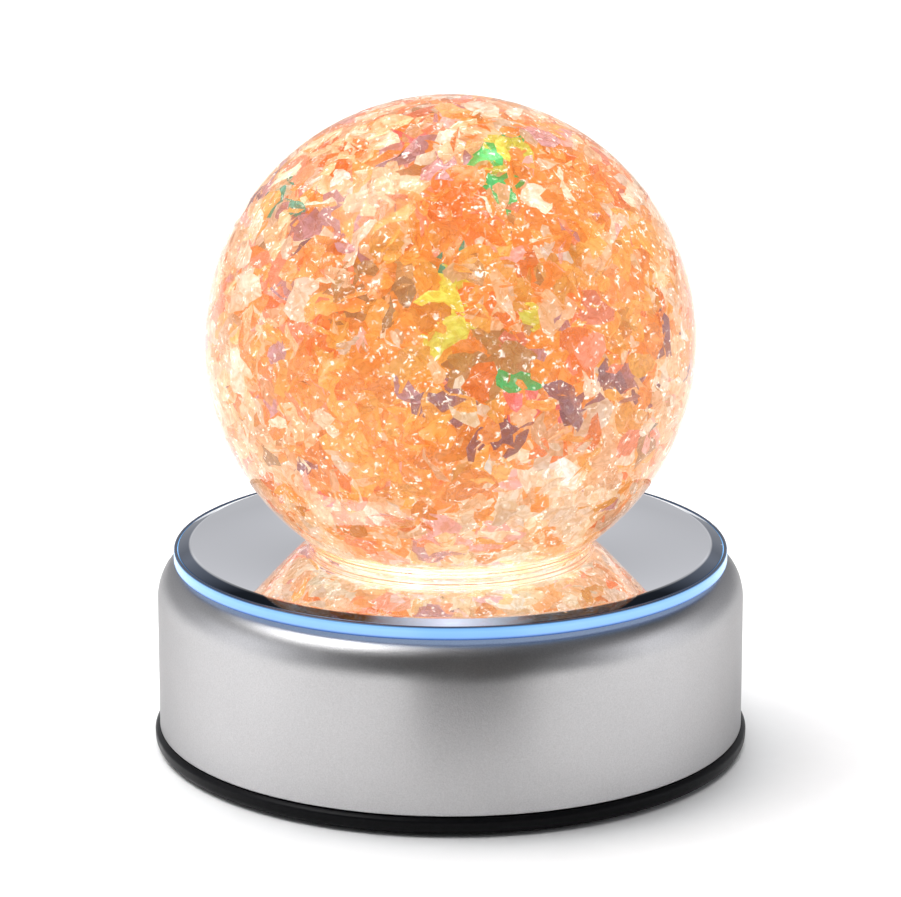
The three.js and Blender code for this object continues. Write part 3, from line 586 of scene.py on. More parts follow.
@dataclass(frozen=True)
class FilmFinish:
    """Crinkled iridescent film, coloured flake by flake, with a painted glow, painted shade in its folds and
    painted white glints.
    """

    name: str
    crease_scale: float = 520.0
    crease_depth: float = 0.55
    glow: float = 1.0
    clearness: float = 0.34

    def build(self) -> Material:
        """Makes the material: see-through film in the flake's own tint, creased, with painted shade in the
        folds, a painted glow and painted white glints.
        """
        material, wiring, where = start_material(self.name)
        # The second attribute holds each flake's painted light colour, which the film gives off as a painted
        # glow.
        tint = wiring.node("Attribute", {"attribute_name": "flake_tint"}).outputs["Color"]
        lit = wiring.node("Attribute", {"attribute_name": "flake_painted_light"}).outputs["Color"]
        fine, broad = self.crease_scale, self.crease_scale * 0.8
        crumple = wiring.node("TexVoronoi", {"feature": "DISTANCE_TO_EDGE"}, Vector=where, Scale=fine)
        waves = wiring.node("TexNoise", Vector=where, Scale=broad, Detail=3.0, Distortion=1.5)
        folds = wiring.sum_of("ADD", crumple.outputs["Distance"], waves.outputs[0])
        bump = wiring.node("Bump", Strength=self.crease_depth, Distance=0.6 * MM, Height=folds)
        # Painted shade and light: the tint is copied darker for the folds and lighter for the faces, mixed
        # by a slow noise.
        painted_light_share = wiring.ramp(waves.outputs[0], 0.36, 0.62, 0.0, 1.0)
        painted_fold_shade, painted_face_light = wiring.scaled(tint, (0.34, 0.3, 0.27)), wiring.scaled(tint, (0.44, 0.43, 0.44))
        tint_painted_light_and_shade = wiring.blend(painted_light_share, painted_fold_shade, painted_face_light)
        # Painted glow: the painted light colour, warmer where the painted fold shade falls, and whitened by
        # the painted glints.
        glowing = wiring.blend(painted_light_share, wiring.scaled(lit, (0.97, 0.77, 0.56)), lit)
        painted_glint = self.glints(wiring, where)
        # Painted highlights: white glow where the glint mask is set.
        glowing = wiring.blend(painted_glint, glowing, (1.15, 1.1, 1.0))
        roughness = wiring.ramp(crumple.outputs["Distance"], 0.0, 0.3, 0.08, 0.3)
        shader = wiring.node(
            "BsdfPrincipled",
            Base_Color=tint_painted_light_and_shade,
            Roughness=roughness,
            Normal=bump.outputs[0],
            Coat_Weight=0.6,
            Coat_Roughness=0.05,
            Emission_Color=glowing,
            Emission_Strength=self.glow,
        )
        film = wiring.node("MixShader")
        thin = wiring.ramp(waves.outputs[0], 0.4, 0.6, self.clearness, self.clearness * 0.4)
        plain = wiring.sum_of("SUBTRACT", 1.0, painted_glint)
        clear = wiring.node("BsdfTransparent", Color=(1.0, 0.94, 0.86))
        wiring.feed(film.inputs[0], wiring.sum_of("MULTIPLY", thin, plain))
        wiring.feed(film.inputs[1], shader.outputs[0])
        wiring.feed(film.inputs[2], clear.outputs[0])
        wiring.surface(film.outputs[0])
        return material

    def glints(self, wiring: Wiring, where: Socket) -> Socket:
        """Painted white glints: small dots and uneven blots, kept inside slow patches.

        Args:
            wiring: The material's wiring.
            where: The place on the film.

        Returns:
            A mask from 0 to 1.
        """
        bend = wiring.node("TexNoise", Vector=where, Scale=700.0, Detail=2.0)
        bent = wiring.node("VectorMath", {"operation": "MULTIPLY_ADD"})
        for socket, value in zip(bent.inputs, (bend.outputs["Color"], (0.0016, 0.0016, 0.0016), where)):
            wiring.feed(socket, value)
        dots = wiring.node("TexVoronoi", Vector=bent.outputs[0], Scale=self.crease_scale * 1.5)
        close = self.crease_scale * 1.7
        blots = wiring.node("TexNoise", Vector=where, Scale=close, Detail=3.0, Distortion=0.7)
        dot = wiring.ramp(dots.outputs["Distance"], 0.16, 0.3, 1.0, 0.0)
        blot = wiring.ramp(blots.outputs[0], 0.575, 0.65, 0.0, 1.0)
        patch = wiring.node("TexNoise", Vector=where, Scale=110.0, Detail=2.0)
        finer = wiring.node("TexNoise", Vector=where, Scale=420.0, Detail=1.0)
        dotted = wiring.sum_of("MULTIPLY", dot, wiring.ramp(patch.outputs[0], 0.54, 0.64, 0.0, 1.0))
        blotted = wiring.sum_of("MULTIPLY", blot, wiring.ramp(finer.outputs[0], 0.46, 0.6, 0.0, 1.0))
        return wiring.sum_of("MAXIMUM", dotted, blotted)


@dataclass(frozen=True)
class MirrorFinish:
    """A silvered mirror with a bevel, a few smudges and a little dust, with a painted dark reflection and a
    painted glow on its bevel.
    """

    name: str
    colour: Colour
    bevel_painted_reflection: Colour
    bevel_start: float
    painted_glow_colour: Colour = (0.68, 0.78, 0.98)

    def build(self) -> Material:
        """Makes the material: polished metal with a painted dark reflection on the bevel, and a painted glow
        on the bevel at the front and the rear.
        """
        material, wiring, where = start_material(self.name)
        smudge = wiring.group(SMUDGE, Vector=where, Scale=35.0, Low=0.012, High=0.035)
        specks = wiring.group(SPECKS, Vector=where, Scale=300.0, Amount=0.03)
        flat = wiring.node("VectorMath", {"operation": "MULTIPLY"})
        wiring.feed(flat.inputs[0], where)
        wiring.feed(flat.inputs[1], (1.0, 1.0, 0.0))
        length = wiring.node("VectorMath", {"operation": "LENGTH"})
        wiring.feed(length.inputs[0], flat.outputs[0])
        bevel = wiring.ramp(length.outputs["Value"], self.bevel_start, self.bevel_start + 0.3 * MM, 0.0, 1.0)
        # Painted reflection: the bevel is coloured dark navy.
        colour = wiring.blend(bevel, self.colour, self.bevel_painted_reflection)
        colour = wiring.blend(specks.outputs["Mask"], colour, (0.93, 0.93, 0.95))
        # Painted glow on the bevel at the front and the rear, fading towards the sides.
        parts = wiring.node("SeparateXYZ", Vector=where)
        across = wiring.sum_of("ABSOLUTE", parts.outputs["X"], 0.0)
        painted_glow_mask = wiring.sum_of("MULTIPLY", bevel, wiring.ramp(across, 1.0 * MM, 15.0 * MM, 1.0, 0.0))
        shader = wiring.node(
            "BsdfPrincipled",
            Base_Color=colour,
            Metallic=1.0,
            Roughness=smudge.outputs["Roughness"],
            Emission_Color=wiring.blend(painted_glow_mask, (0.0, 0.0, 0.0), self.painted_glow_colour),
            Emission_Strength=1.0,
        )
        wiring.surface(shader.outputs[0])
        return material


@dataclass(frozen=True)
class GlowRingFinish:
    """Translucent blue plastic, lit through from below and brightest in the middle of its face."""

    name: str
    low: float
    high: float
    bands: tuple[tuple[float, Colour], ...]
    glow: float

    def build(self) -> Material:
        """Makes the material: bands of painted light and shade in blue with height, with slow changes round
        the ring.
        """
        material, wiring, where = start_material(self.name)
        height = wiring.node("SeparateXYZ", Vector=where).outputs["Z"]
        rise = wiring.ramp(height, self.low, self.high, 0.0, 1.0)
        ramp = wiring.node("ValToRGB", Fac=rise)
        points = ramp.color_ramp.elements
        while len(points) < len(self.bands):
            points.new(0.5)
        for point, (at, colour) in zip(points, self.bands):
            point.position = at
            point.color = (*colour, 1.0)
        patch = wiring.node("TexNoise", Vector=where, Scale=38.0, Detail=2.0)
        share = wiring.ramp(patch.outputs[0], 0.3, 0.7, 0.0, 0.35)
        colour = wiring.blend(share, ramp.outputs[0], wiring.scaled(ramp.outputs[0], (0.6, 0.75, 0.9)))
        grain = wiring.group(GRAIN, Vector=where, Scale=1800.0)
        bump = wiring.node("Bump", Strength=0.05, Distance=0.1 * MM, Height=grain.outputs["Height"])
        shader = wiring.node(
            "BsdfPrincipled",
            Base_Color=wiring.scaled(colour, (0.3, 0.3, 0.35)),
            Roughness=0.2,
            Normal=bump.outputs[0],
            Emission_Color=colour,
            Emission_Strength=self.glow,
        )
        wiring.surface(shader.outputs[0])
        return material


@dataclass(frozen=True)
class CoreFinish:
    """The gel's middle, where the flakes blur into patches of orange with a painted glow."""

    name: str
    glow: float = 0.75

    def build(self) -> Material:
        """Makes the material: angular patches of amber, orange and rose, with a soft painted glow."""
        material, wiring, where = start_material(self.name)
        bend = wiring.node("TexNoise", Vector=where, Scale=160.0, Detail=3.0)
        shifted = wiring.node("VectorMath", {"operation": "MULTIPLY_ADD"})
        wiring.feed(shifted.inputs[0], bend.outputs["Color"])
        wiring.feed(shifted.inputs[1], (0.006, 0.006, 0.006))
        wiring.feed(shifted.inputs[2], where)
        cells = wiring.node("TexVoronoi", Vector=shifted.outputs[0], Scale=260.0)
        pick = wiring.node("SeparateColor", Color=cells.outputs["Color"]).outputs[0]
        warm = wiring.blend(pick, linear(226, 130, 56), linear(250, 168, 96))
        colour = wiring.blend(wiring.ramp(bend.outputs[0], 0.45, 0.7, 0.0, 0.7), warm, linear(250, 172, 140))
        # Painted glow: the patches give off their own colour.
        shader = wiring.node(
            "BsdfPrincipled",
            Base_Color=colour,
            Roughness=0.4,
            Emission_Color=colour,
            Emission_Strength=self.glow,
        )
        wiring.surface(shader.outputs[0])
        return material


class Slot(Enum):
    """The record's material slots, by the name that the frame knows them by."""

    SILVER = "satin_silver"
    GLOSS_BLACK = "gloss_black"
    MATT_BLACK = "matt_black"
    BLUE = "blue_acrylic"
    MIRROR = "mirror_silver"
    LENS = "clear_lens"
    GLOBE = "globe_clear"
    FLAKE = "orange_flake"
    WHITE = "white_plastic"
    NYLON = "gear_nylon"
    BOARD_WHITE = "board_white"
    BOARD_GREEN = "board_green"
    SLEEVE = "cell_sleeve"
    BRASS = "contact_brass"
    RUBBER = "foot_rubber"
    LAMP = "lamp_white"
    LAMP_BLUE = "lamp_blue"
    STEEL = "bright_steel"


RING_LOW, RING_HIGH = (corner.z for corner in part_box("turntable_disc"))
# Painted light and shade by height: a bright painted glow at the lower edge, a dark painted shade line above
# it, the lit middle, and darker towards the top edge.
RING_PAINTED_LIGHT_BANDS = (
    (0.0, (1.3, 1.6, 2.0)),
    (0.03, (0.04, 0.09, 0.24)),
    (0.12, linear(64, 104, 172)),
    (0.27, linear(140, 190, 246)),
    (0.65, linear(146, 198, 246)),
    (0.88, linear(130, 186, 236)),
    (0.97, linear(46, 74, 110)),
    (1.0, linear(20, 28, 44)),
)
FINISHES = {
    Slot.SILVER: Finish(
        "satin_sand_silver", colour=(0.495, 0.49, 0.495), roughness=0.35, metallic=0.97, spread=0.025,
        grain=3600.0, depth=0.14, mottle=0.09, dust=0.0, edge=0.55,
    ),
    Slot.GLOSS_BLACK: Finish(
        "gloss_black_plastic", colour=(0.006, 0.006, 0.007), roughness=0.34, metallic=0.0, spread=0.06,
        grain=900.0, depth=0.02, mottle=0.2, dust=0.03, shine=0.08,
    ),
    Slot.MATT_BLACK: Finish(
        "matt_black_plastic", colour=(0.012, 0.012, 0.013), roughness=0.5, metallic=0.0, spread=0.08,
        grain=2600.0, depth=0.2, mottle=0.2, dust=0.03,
    ),
    Slot.BLUE: GlowRingFinish(
        "lit_blue_acrylic", low=RING_LOW + 1.5 * MM, high=RING_HIGH, bands=RING_PAINTED_LIGHT_BANDS, glow=1.0,
    ),
    # The mirror's bevel colour is a painted dark reflection.
    Slot.MIRROR: MirrorFinish(
        "silvered_mirror", colour=(0.92, 0.925, 0.955), bevel_painted_reflection=(0.1, 0.13, 0.19),
        bevel_start=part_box("mirror")[1].x - 2.2 * MM,
    ),
    Slot.LENS: ClearFinish(
        "clear_lens_plastic", colour=(0.97, 0.98, 1.0), index=1.46, roughness=0.05, ripple=0.05,
    ),
    Slot.GLOBE: ClearFinish(
        "clear_globe_gel", colour=(1.0, 0.992, 0.985), index=1.36, roughness=0.0, ripple=0.03,
    ),
    Slot.FLAKE: FilmFinish("iridescent_film"),
    Slot.WHITE: Finish(
        "white_moulded_plastic", colour=(0.78, 0.78, 0.76), roughness=0.45, metallic=0.0, spread=0.08,
        grain=1500.0, depth=0.08, mottle=0.04,
    ),
    Slot.NYLON: Finish(
        "gear_nylon_moulded", colour=(0.8, 0.78, 0.7), roughness=0.42, metallic=0.0, spread=0.1,
        grain=1100.0, depth=0.06, mottle=0.05,
    ),
    Slot.BOARD_WHITE: Finish(
        "white_circuit_board", colour=(0.8, 0.8, 0.79), roughness=0.35, metallic=0.0, spread=0.1,
        grain=800.0, depth=0.05, mottle=0.05,
    ),
    Slot.BOARD_GREEN: Finish(
        "green_circuit_board", colour=(0.02, 0.15, 0.05), roughness=0.32, metallic=0.0, spread=0.1,
        grain=500.0, depth=0.08, mottle=0.4,
    ),
    Slot.SLEEVE: Finish(
        "printed_cell_sleeve", colour=(0.04, 0.1, 0.19), roughness=0.25, metallic=0.3, spread=0.08,
        grain=700.0, depth=0.02, mottle=0.15, coat=0.5,
    ),
    Slot.BRASS: Finish(
        "stamped_brass", colour=(0.72, 0.53, 0.22), roughness=0.3, metallic=1.0, spread=0.1, grain=900.0,
        depth=0.06, mottle=0.12,
    ),
    Slot.RUBBER: Finish(
        "foot_rubber_grey", colour=(0.02, 0.02, 0.022), roughness=0.75, metallic=0.0, spread=0.1,
        grain=1900.0, depth=0.3, mottle=0.2, dust=0.08,
    ),
    Slot.LAMP: Finish(
        "lit_white_lamp", colour=(1.0, 0.99, 0.96), roughness=0.2, metallic=0.0, spread=0.05,
        grain=600.0, depth=0.02, mottle=0.02, glow=4.5,
    ),
    Slot.LAMP_BLUE: Finish(
        "lit_blue_lamp", colour=(0.35, 0.6, 1.0), roughness=0.2, metallic=0.0, spread=0.05, grain=600.0,
        depth=0.02, mottle=0.02, glow=4.0,
    ),
    Slot.STEEL: Finish(
        "bright_plated_steel", colour=(0.58, 0.58, 0.6), roughness=0.28, metallic=1.0, spread=0.08,
        grain=1200.0, depth=0.05, mottle=0.08,
    ),
}
MATERIALS = {slot: finish.build() for slot, finish in FINISHES.items()}


# ------------------------------------------------------------------ base


@dataclass
class Casing:
    """The satin drum with its rounded shoulder, cut for the jack and the switch at the back."""

    wall: float = 1.4
    shoulder_width: float = 5.0
    shoulder_height: float = 6.6
    deck_inset: float = 7.6
    jack_bearing: float = 50.0
    switch_bearing: float = 132.0
    part_height: float = 10.0
    jack_hole: float = 4.3
    slot_half: tuple[float, float] = (2.1, 4.5)
    segments: int = 192

    def outline(self) -> Profile:
        """The wall's outline: an outer and an inner quarter ellipse, r = c + a cos t and z = d + b sin t."""
        low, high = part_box("casing")
        radius, top, bottom = high.x / MM, high.z / MM, low.z / MM
        t = np.linspace(0, np.pi / 2, 15)
        arc = np.stack([
            radius - self.shoulder_width + self.shoulder_width * np.cos(t),
            top - self.shoulder_height + self.shoulder_height * np.sin(t),
        ], axis=-1)
        opening = radius - self.deck_inset
        heights = np.linspace(bottom + 2, arc[0, 1] - 2, 6)
        rising = [(radius - 0.25, bottom), (radius, bottom + 0.25), *((radius, z) for z in heights)]
        lip = [(opening + 0.3, top), (opening, top - 0.3), (opening, top - self.wall)]
        inner = (arc - self.wall)[::-1]
        closing = [(radius - self.wall, bottom), (radius - 0.25, bottom)]
        return np.vstack([rising, arc, lip, inner, closing])

    def build(self) -> None:
        """Builds and dresses the casing."""
        piece = place("casing_drum", revolve(self.outline(), self.segments))
        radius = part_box("casing")[1].x / MM
        start, end = radius - 6, radius + 3
        bore = [(0, start), (self.jack_hole, start), (self.jack_hole, end), (0, end)]
        hole = along_x(revolve(np.array(bore, float), 48))
        slot = outwards(slab(self.slot_half, 0, 12, 7, 48), start * MM)
        lift = (0, 0, self.part_height * MM)
        carve(piece, [
            hole.moved(lift).turned(math.radians(self.jack_bearing)),
            slot.moved(lift).turned(math.radians(self.switch_bearing)),
        ])
        settle(piece, "base", Slot.SILVER, ["casing"])


@dataclass
class BackFittings:
    """The power jack and the switch knob, seen at the back of the casing."""

    casing: Casing
    barrel_radius: float = 4.05
    collar_radius: float = 5.3
    socket_radius: float = 2.75
    pin_radius: float = 1.0
    knob_half: tuple[float, float] = (1.1, 1.7)
    knob_height: float = 4.75
    knob_start: float = -2.0
    ridge_height: float = 0.16
    ridge_pitch: float = 0.66

    def build_jack(self) -> None:
        """Builds the jack: a stepped collar round a deep socket, and a centre pin with a round end."""
        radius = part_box("casing")[1].x / MM
        barrel, collar = self.barrel_radius, self.collar_radius
        socket, pin = self.socket_radius, self.pin_radius
        floor, back = radius - 8.5, radius - 12.5
        stepped = rounded([
            (barrel, radius - 1.6, 0), (barrel, radius - 0.3, 0.1), (collar, radius - 0.3, 0.1),
            (collar, radius + 0.35, 0.35), (socket + 0.45, radius + 0.55, 0.15), (socket, radius + 0.1, 0.1),
            (socket, floor, 0), (0, floor, 0), (0, back, 0), (barrel, back, 0.2),
        ])
        round_ended = rounded([
            (0, floor - 0.1, 0), (pin, floor - 0.1, 0), (pin, radius - 1.2, 0.5), (0, radius - 0.9, 0),
        ], closed=False)
        shape = along_x(revolve(stepped, 64))
        post = along_x(revolve(round_ended, 32))
        lift = (0, 0, self.casing.part_height * MM)
        bearing = math.radians(self.casing.jack_bearing)
        jack = place("power_jack_barrel", shape.moved(lift).turned(bearing))
        settle(jack, "base", Slot.MATT_BLACK, ["power_jack"])
        contact = place("power_jack_pin", post.moved(lift).turned(bearing))
        settle(contact, "base", Slot.STEEL)

    def build_knob(self) -> None:
        """Builds the switch knob: a rounded block whose outer face carries five cosine ridges."""
        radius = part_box("casing")[1].x / MM

        def ridges(x: np.ndarray, y: np.ndarray) -> np.ndarray:
            """Height of the ridges at x and y, in millimetres."""
            return self.ridge_height * np.cos(2 * np.pi * y / self.ridge_pitch) * (np.abs(y) < 1.5)

        top = self.knob_height
        face = [(top, inset) for inset in (0.35, 0.6, 0.9, 1.2, SHUT)]
        layers = [(0, SHUT), (0, 0), (top - 0.15, 0), (top - 0.05, 0.15), *face]
        block = cushion_loft(self.knob_half, layers, 8, 96, ridges)
        shape = outwards(block, (radius - 3.6) * MM, self.knob_start * MM)
        lift = (0, 0, self.casing.part_height * MM)
        turned = shape.moved(lift).turned(math.radians(self.casing.switch_bearing))
        knob = place("switch_knob_ridged", turned)
        settle(knob, "switch_knob", Slot.MATT_BLACK, ["switch_knob"])


@dataclass
class Tray:
    """The black bottom tray: its glossy rim, and the pockets and door recess underneath."""

    segments: int = 192
    corner_power: float = 40.0
    corner_segments: int = 96
    door_travel: float = 6.0
    door_ledge: float = 1.6
    gap: float = 0.3
    foot_pocket: tuple[float, float] = (5.3, 0.7)
    head_pocket: tuple[float, float] = (2.5, 1.5)
    screw_hole: float = 1.5
    grooves: int = 4
    groove_pitch: float = 1.5

    def build(self) -> None:
        """Builds the rim and floor, cuts the pockets, and sets the battery bay's box in as its own piece."""
        low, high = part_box("bottom_tray")
        radius, bottom = high.x / MM, low.z / MM
        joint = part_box("casing")[0].z / MM - 0.1
        inner, floor = radius - 3.9, bottom + 2.4
        outline = rounded([
            (0, bottom, 0), (radius - 0.5, bottom, 0.35), (radius - 0.05, bottom + 0.7, 0.4),
            (radius, bottom + 2.2, 0.4), (radius - 0.35, joint - 0.25, 0.3), (radius - 0.8, joint, 0.15),
            (inner, joint, 0), (inner, floor, 0), (0, floor, 0),
        ], closed=False)
        piece = place("tray_rim", revolve(outline, self.segments))
        door_low, door_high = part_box("battery_door")
        well_low = (door_low.x / MM - self.gap, door_low.y / MM - self.door_travel - self.gap)
        well_high = (door_high.x / MM + self.gap, door_high.y / MM + self.gap)
        half = ((well_high[0] - well_low[0]) / 2, (well_high[1] - well_low[1]) / 2)
        centre = (0.0, (well_high[1] + well_low[1]) / 2 * MM, 0.0)
        recess = self.block(half, bottom - 1, door_high.z / MM + 0.15)
        bay_width = (door_high.y - door_low.y) / MM / 2 - self.door_ledge
        bay_half = (half[0] - self.door_ledge - self.gap, bay_width)
        bay_centre = (0.0, (door_high.y + door_low.y) / 2, 0.0)
        bay = self.block(bay_half, bottom - 1, bottom + 4)
        carve(piece, [recess.moved(centre), bay.moved(bay_centre), *self.pockets(bottom)])
        settle(piece, "base", Slot.GLOSS_BLACK, ["bottom_tray"])
        self.build_bay(bay_half, bay_centre, bottom)
        self.build_door()

    def block(self, half: tuple[float, float], low: float, high: float) -> Surface:
        """A block with the tight corners of the door and its bay."""
        return slab(half, low, high, self.corner_power, self.corner_segments)

    def pockets(self, bottom: float) -> list[Surface]:
        """Makes the cutters for the four foot pockets and the four stepped screw holes.

        Args:
            bottom: The underside's height, in millimetres.

        Returns:
            A pocket and a stepped hole for each of the four corners, in turn.
        """
        foot, foot_depth = self.foot_pocket
        head, head_depth = self.head_pocket
        start, foot_end, head_end, end = bottom - 1, bottom + foot_depth, bottom + head_depth, bottom + 4
        pocket = [(0, start), (foot, start), (foot, foot_end), (0, foot_end)]
        shank = self.screw_hole
        hole = [(0, start), (head, start), (head, head_end), (shank, head_end), (shank, end), (0, end)]
        cutters = []
        for number in range(1, 5):
            for node, shape in ((f"rubber_foot_{number}", pocket), (f"tray_screw_{number}", hole)):
                x, y, _ = footprint(node)
                cutters.append(revolve(np.array(shape, float), 48).moved((x, y, 0)))
        return cutters

    def build_bay(self, half: tuple[float, float], centre: Place, bottom: float) -> None:
        """Builds the battery bay's box: an outer and an inner loft joined at the mouth."""
        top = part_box("bottom_tray")[1].z / MM
        wall, mouth, inset = 1.2, bottom + 2.0, 0.02
        outer = [(top, SHUT), (top, -wall), (mouth, -wall)]
        rows = [*outer, (mouth, inset), (top - wall, inset), (top - wall, SHUT)]
        loft = cushion_loft(half, rows, self.corner_power, self.corner_segments)
        settle(place("battery_bay", loft.moved(centre)), "base", Slot.GLOSS_BLACK)

    def build_door(self) -> None:
        """Builds the sliding door, with a soft edge and grip grooves along one side."""
        low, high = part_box("battery_door")
        half = ((high.x - low.x) / 2 / MM, (high.y - low.y) / 2 / MM)
        bottom, top = low.z / MM, high.z / MM
        layers = [(top, SHUT), (top, 0.4), (top - 0.4, 0), (bottom + 0.3, 0), (bottom, 0.3), (bottom, SHUT)]
        panel = cushion_loft(half, layers, self.corner_power, 128)
        door = place("battery_door_panel", panel.moved((0, (high.y + low.y) / 2, 0)))
        groove = slab((7, 0.45), bottom - 1, bottom + 0.45, 6, 40)
        offsets = 2.2 + self.groove_pitch * np.arange(self.grooves)
        carve(door, [groove.moved((0, low.y + offset * MM, 0)) for offset in offsets])
        settle(door, "battery_door", Slot.GLOSS_BLACK, ["battery_door"])


@dataclass
class Fasteners:
    """Pan-head screws with cross recesses, and the rubber feet."""

    pitch: float = 0.5
    head_height: float = 1.3
    shank_radius: float = 1.2
    thread_depth: float = 0.28
    recess_depth: float = 0.75
    recess_half: tuple[float, float] = (1.35, 0.28)

    def screw(self, node: str, head_down: bool, body: str) -> None:
        """Builds one screw: a domed head and a shank whose radius is a sawtooth along its length.

        Args:
            node: The CAD screw that it stands for.
            head_down: Whether the head is at the low end.
            body: The body that it rides on.
        """
        low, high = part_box(node)
        length = (high.z - low.z) / MM
        head, head_height, shank = (high.x - low.x) / 2 / MM, self.head_height, self.shank_radius
        core = shank - self.thread_depth
        count = int((length - head_height - 1.2) / self.pitch)
        start = head_height + 0.3
        turns = np.arange(count) * self.pitch + start
        thread = np.stack([
            np.tile([core, shank, core], count),
            (turns[:, None] + np.array([0.0, self.pitch * 0.5, self.pitch * 0.9])).reshape(-1),
        ], axis=-1)
        cap = rounded([
            (0, 0, 0), (head * 0.7, 0.05, 0.3), (head, 0.6, 0.4),
            (head, head_height, 0.1), (core, head_height, 0),
        ], closed=False)
        outline = np.vstack([cap, thread, [(0.2, length - 0.05), (0, length)]])
        if not head_down:
            outline[:, 1] = length - outline[:, 1]
        offset = footprint(node)
        piece = place(f"{node}_threaded", revolve(outline, 28).moved(offset))
        past = 0.2
        start = -past if head_down else length - self.recess_depth
        end = start + self.recess_depth + past
        layers = [(start, SHUT), (start, 0), (end, 0.1), (end, SHUT)]
        arms = (self.recess_half, self.recess_half[::-1])
        carve(piece, [cushion_loft(half, layers, 8, 24).moved(offset) for half in arms])
        settle(piece, body, Slot.STEEL, [node])

    def build(self) -> None:
        """Builds every screw and foot."""
        for number in range(1, 5):
            self.screw(f"tray_screw_{number}", True, "base")
            self.screw(f"chassis_screw_{number}", False, "base")
            self.foot(f"rubber_foot_{number}")
        for number in range(1, 4):
            self.screw(f"hub_screw_{number}", True, "turntable")

    def foot(self, node: str) -> None:
        """Builds one rubber foot: a low drum with a rounded edge and two grip rings underneath."""
        low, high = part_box(node)
        top = (high.z - low.z) / MM
        groove, radius = 0.12, 4.95
        outline = rounded([
            (0, groove, 0), (1.4, groove, 0.1), (1.6, 0, 0.1), (2.4, 0, 0.1), (2.6, groove, 0.1),
            (3.2, groove, 0.1), (3.4, 0, 0.1), (radius - 0.25, 0, 0.35), (radius, 0.6, 0.2),
            (radius, top, 0.1), (0, top, 0),
        ], closed=False)
        piece = place(f"{node}_ribbed", revolve(outline, 56).moved(footprint(node)))
        settle(piece, "base", Slot.RUBBER, [node])


@dataclass
class LightEngine:
    """The lamps on the light board."""

    segments: int = 40

    def lamp(self, node: str) -> None:
        """Builds one lamp: a flange, a barrel and a domed tip, z = top - r + sqrt(r^2 - x^2) softened."""
        low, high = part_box(node)
        radius = (high.x - low.x) / 2 / MM
        barrel, tall = radius - 0.4, (high.z - low.z) / MM
        t = np.linspace(0, np.pi / 2, 9)
        dome = np.stack([barrel * np.cos(t), tall - barrel * 0.8 + barrel * 0.8 * np.sin(t)], axis=-1)
        dome[-1, 0] = 0
        thick, bevel = 0.8, 0.1
        flange = [
            (0, 0), (radius - bevel, 0), (radius, bevel),
            (radius, thick - bevel), (radius - bevel, thick), (barrel, thick),
        ]
        outline = np.vstack([flange, dome])
        piece = place(f"{node}_dome", revolve(outline, self.segments).moved(footprint(node)))
        settle(piece, "base", Slot.LAMP, [node])

    def build(self) -> None:
        """Builds the centre lamp and the six round it."""
        self.lamp("centre_lamp")
        for number in range(1, 7):
            self.lamp(f"outer_lamp_{number}")


# ------------------------------------------------------------------ turntable


@dataclass
class Turntable:
    """The blue disc, the bevelled mirror in it, and the clear window over the lamps."""

    lip: float = 0.65
    bevel_width: float = 2.4
    bevel_drop: float = 0.8
    step: float = 1.55
    step_radius: float = 45.8
    window_radius: float = 17.0
    ripple_pitch: float = 1.9
    segments: int = 224

    def build(self) -> None:
        """Builds and dresses the three discs."""
        low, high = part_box("turntable_disc")
        radius, bottom, top = high.x / MM, low.z / MM, high.z / MM
        mirror_low, mirror_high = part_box("mirror")
        mirror_radius = mirror_high.x / MM
        mirror_bottom, mirror_top = mirror_low.z / MM, mirror_high.z / MM
        inner = self.window_radius - 1.6
        ring_bottom = bottom + self.step
        disc = rounded([
            (inner, bottom, 0.1), (self.step_radius, bottom, 0.2), (self.step_radius, ring_bottom, 0.1),
            (radius, ring_bottom, 0.45), (radius, top, 0.35), (radius - self.lip, top, 0.12),
            (radius - self.lip, mirror_bottom - 0.05, 0.05), (inner, mirror_bottom - 0.05, 0.1),
        ])
        piece = place("glow_ring_disc", revolve(disc, self.segments))
        settle(piece, "turntable", Slot.BLUE, ["turntable_disc"])
        hole = self.window_radius + 0.25
        glass = rounded([
            (hole, mirror_bottom, 0.05), (mirror_radius, mirror_bottom, 0.1),
            (mirror_radius, mirror_top - self.bevel_drop, 0.12),
            (mirror_radius - self.bevel_width, mirror_top, 0.12), (hole, mirror_top, 0.08),
        ])
        piece = place("bevelled_mirror", revolve(glass, self.segments))
        settle(piece, "turntable", Slot.MIRROR, ["mirror"])
        under, over = (corner.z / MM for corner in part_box("window_lens"))
        ripple = [((n + 1) * self.ripple_pitch, over - 0.06 * (n % 2), 0.2) for n in range(8)]
        window = rounded([
            (0, under, 0), (self.window_radius - 0.4, under, 0.1), (self.window_radius, under + 0.4, 0.1),
            (self.window_radius, over, 0.15), *ripple[::-1], (0, over, 0),
        ], closed=False)
        piece = place("lamp_window", revolve(window, 96))
        settle(piece, "turntable", Slot.LENS, ["window_lens"])


# ------------------------------------------------------------------ globe


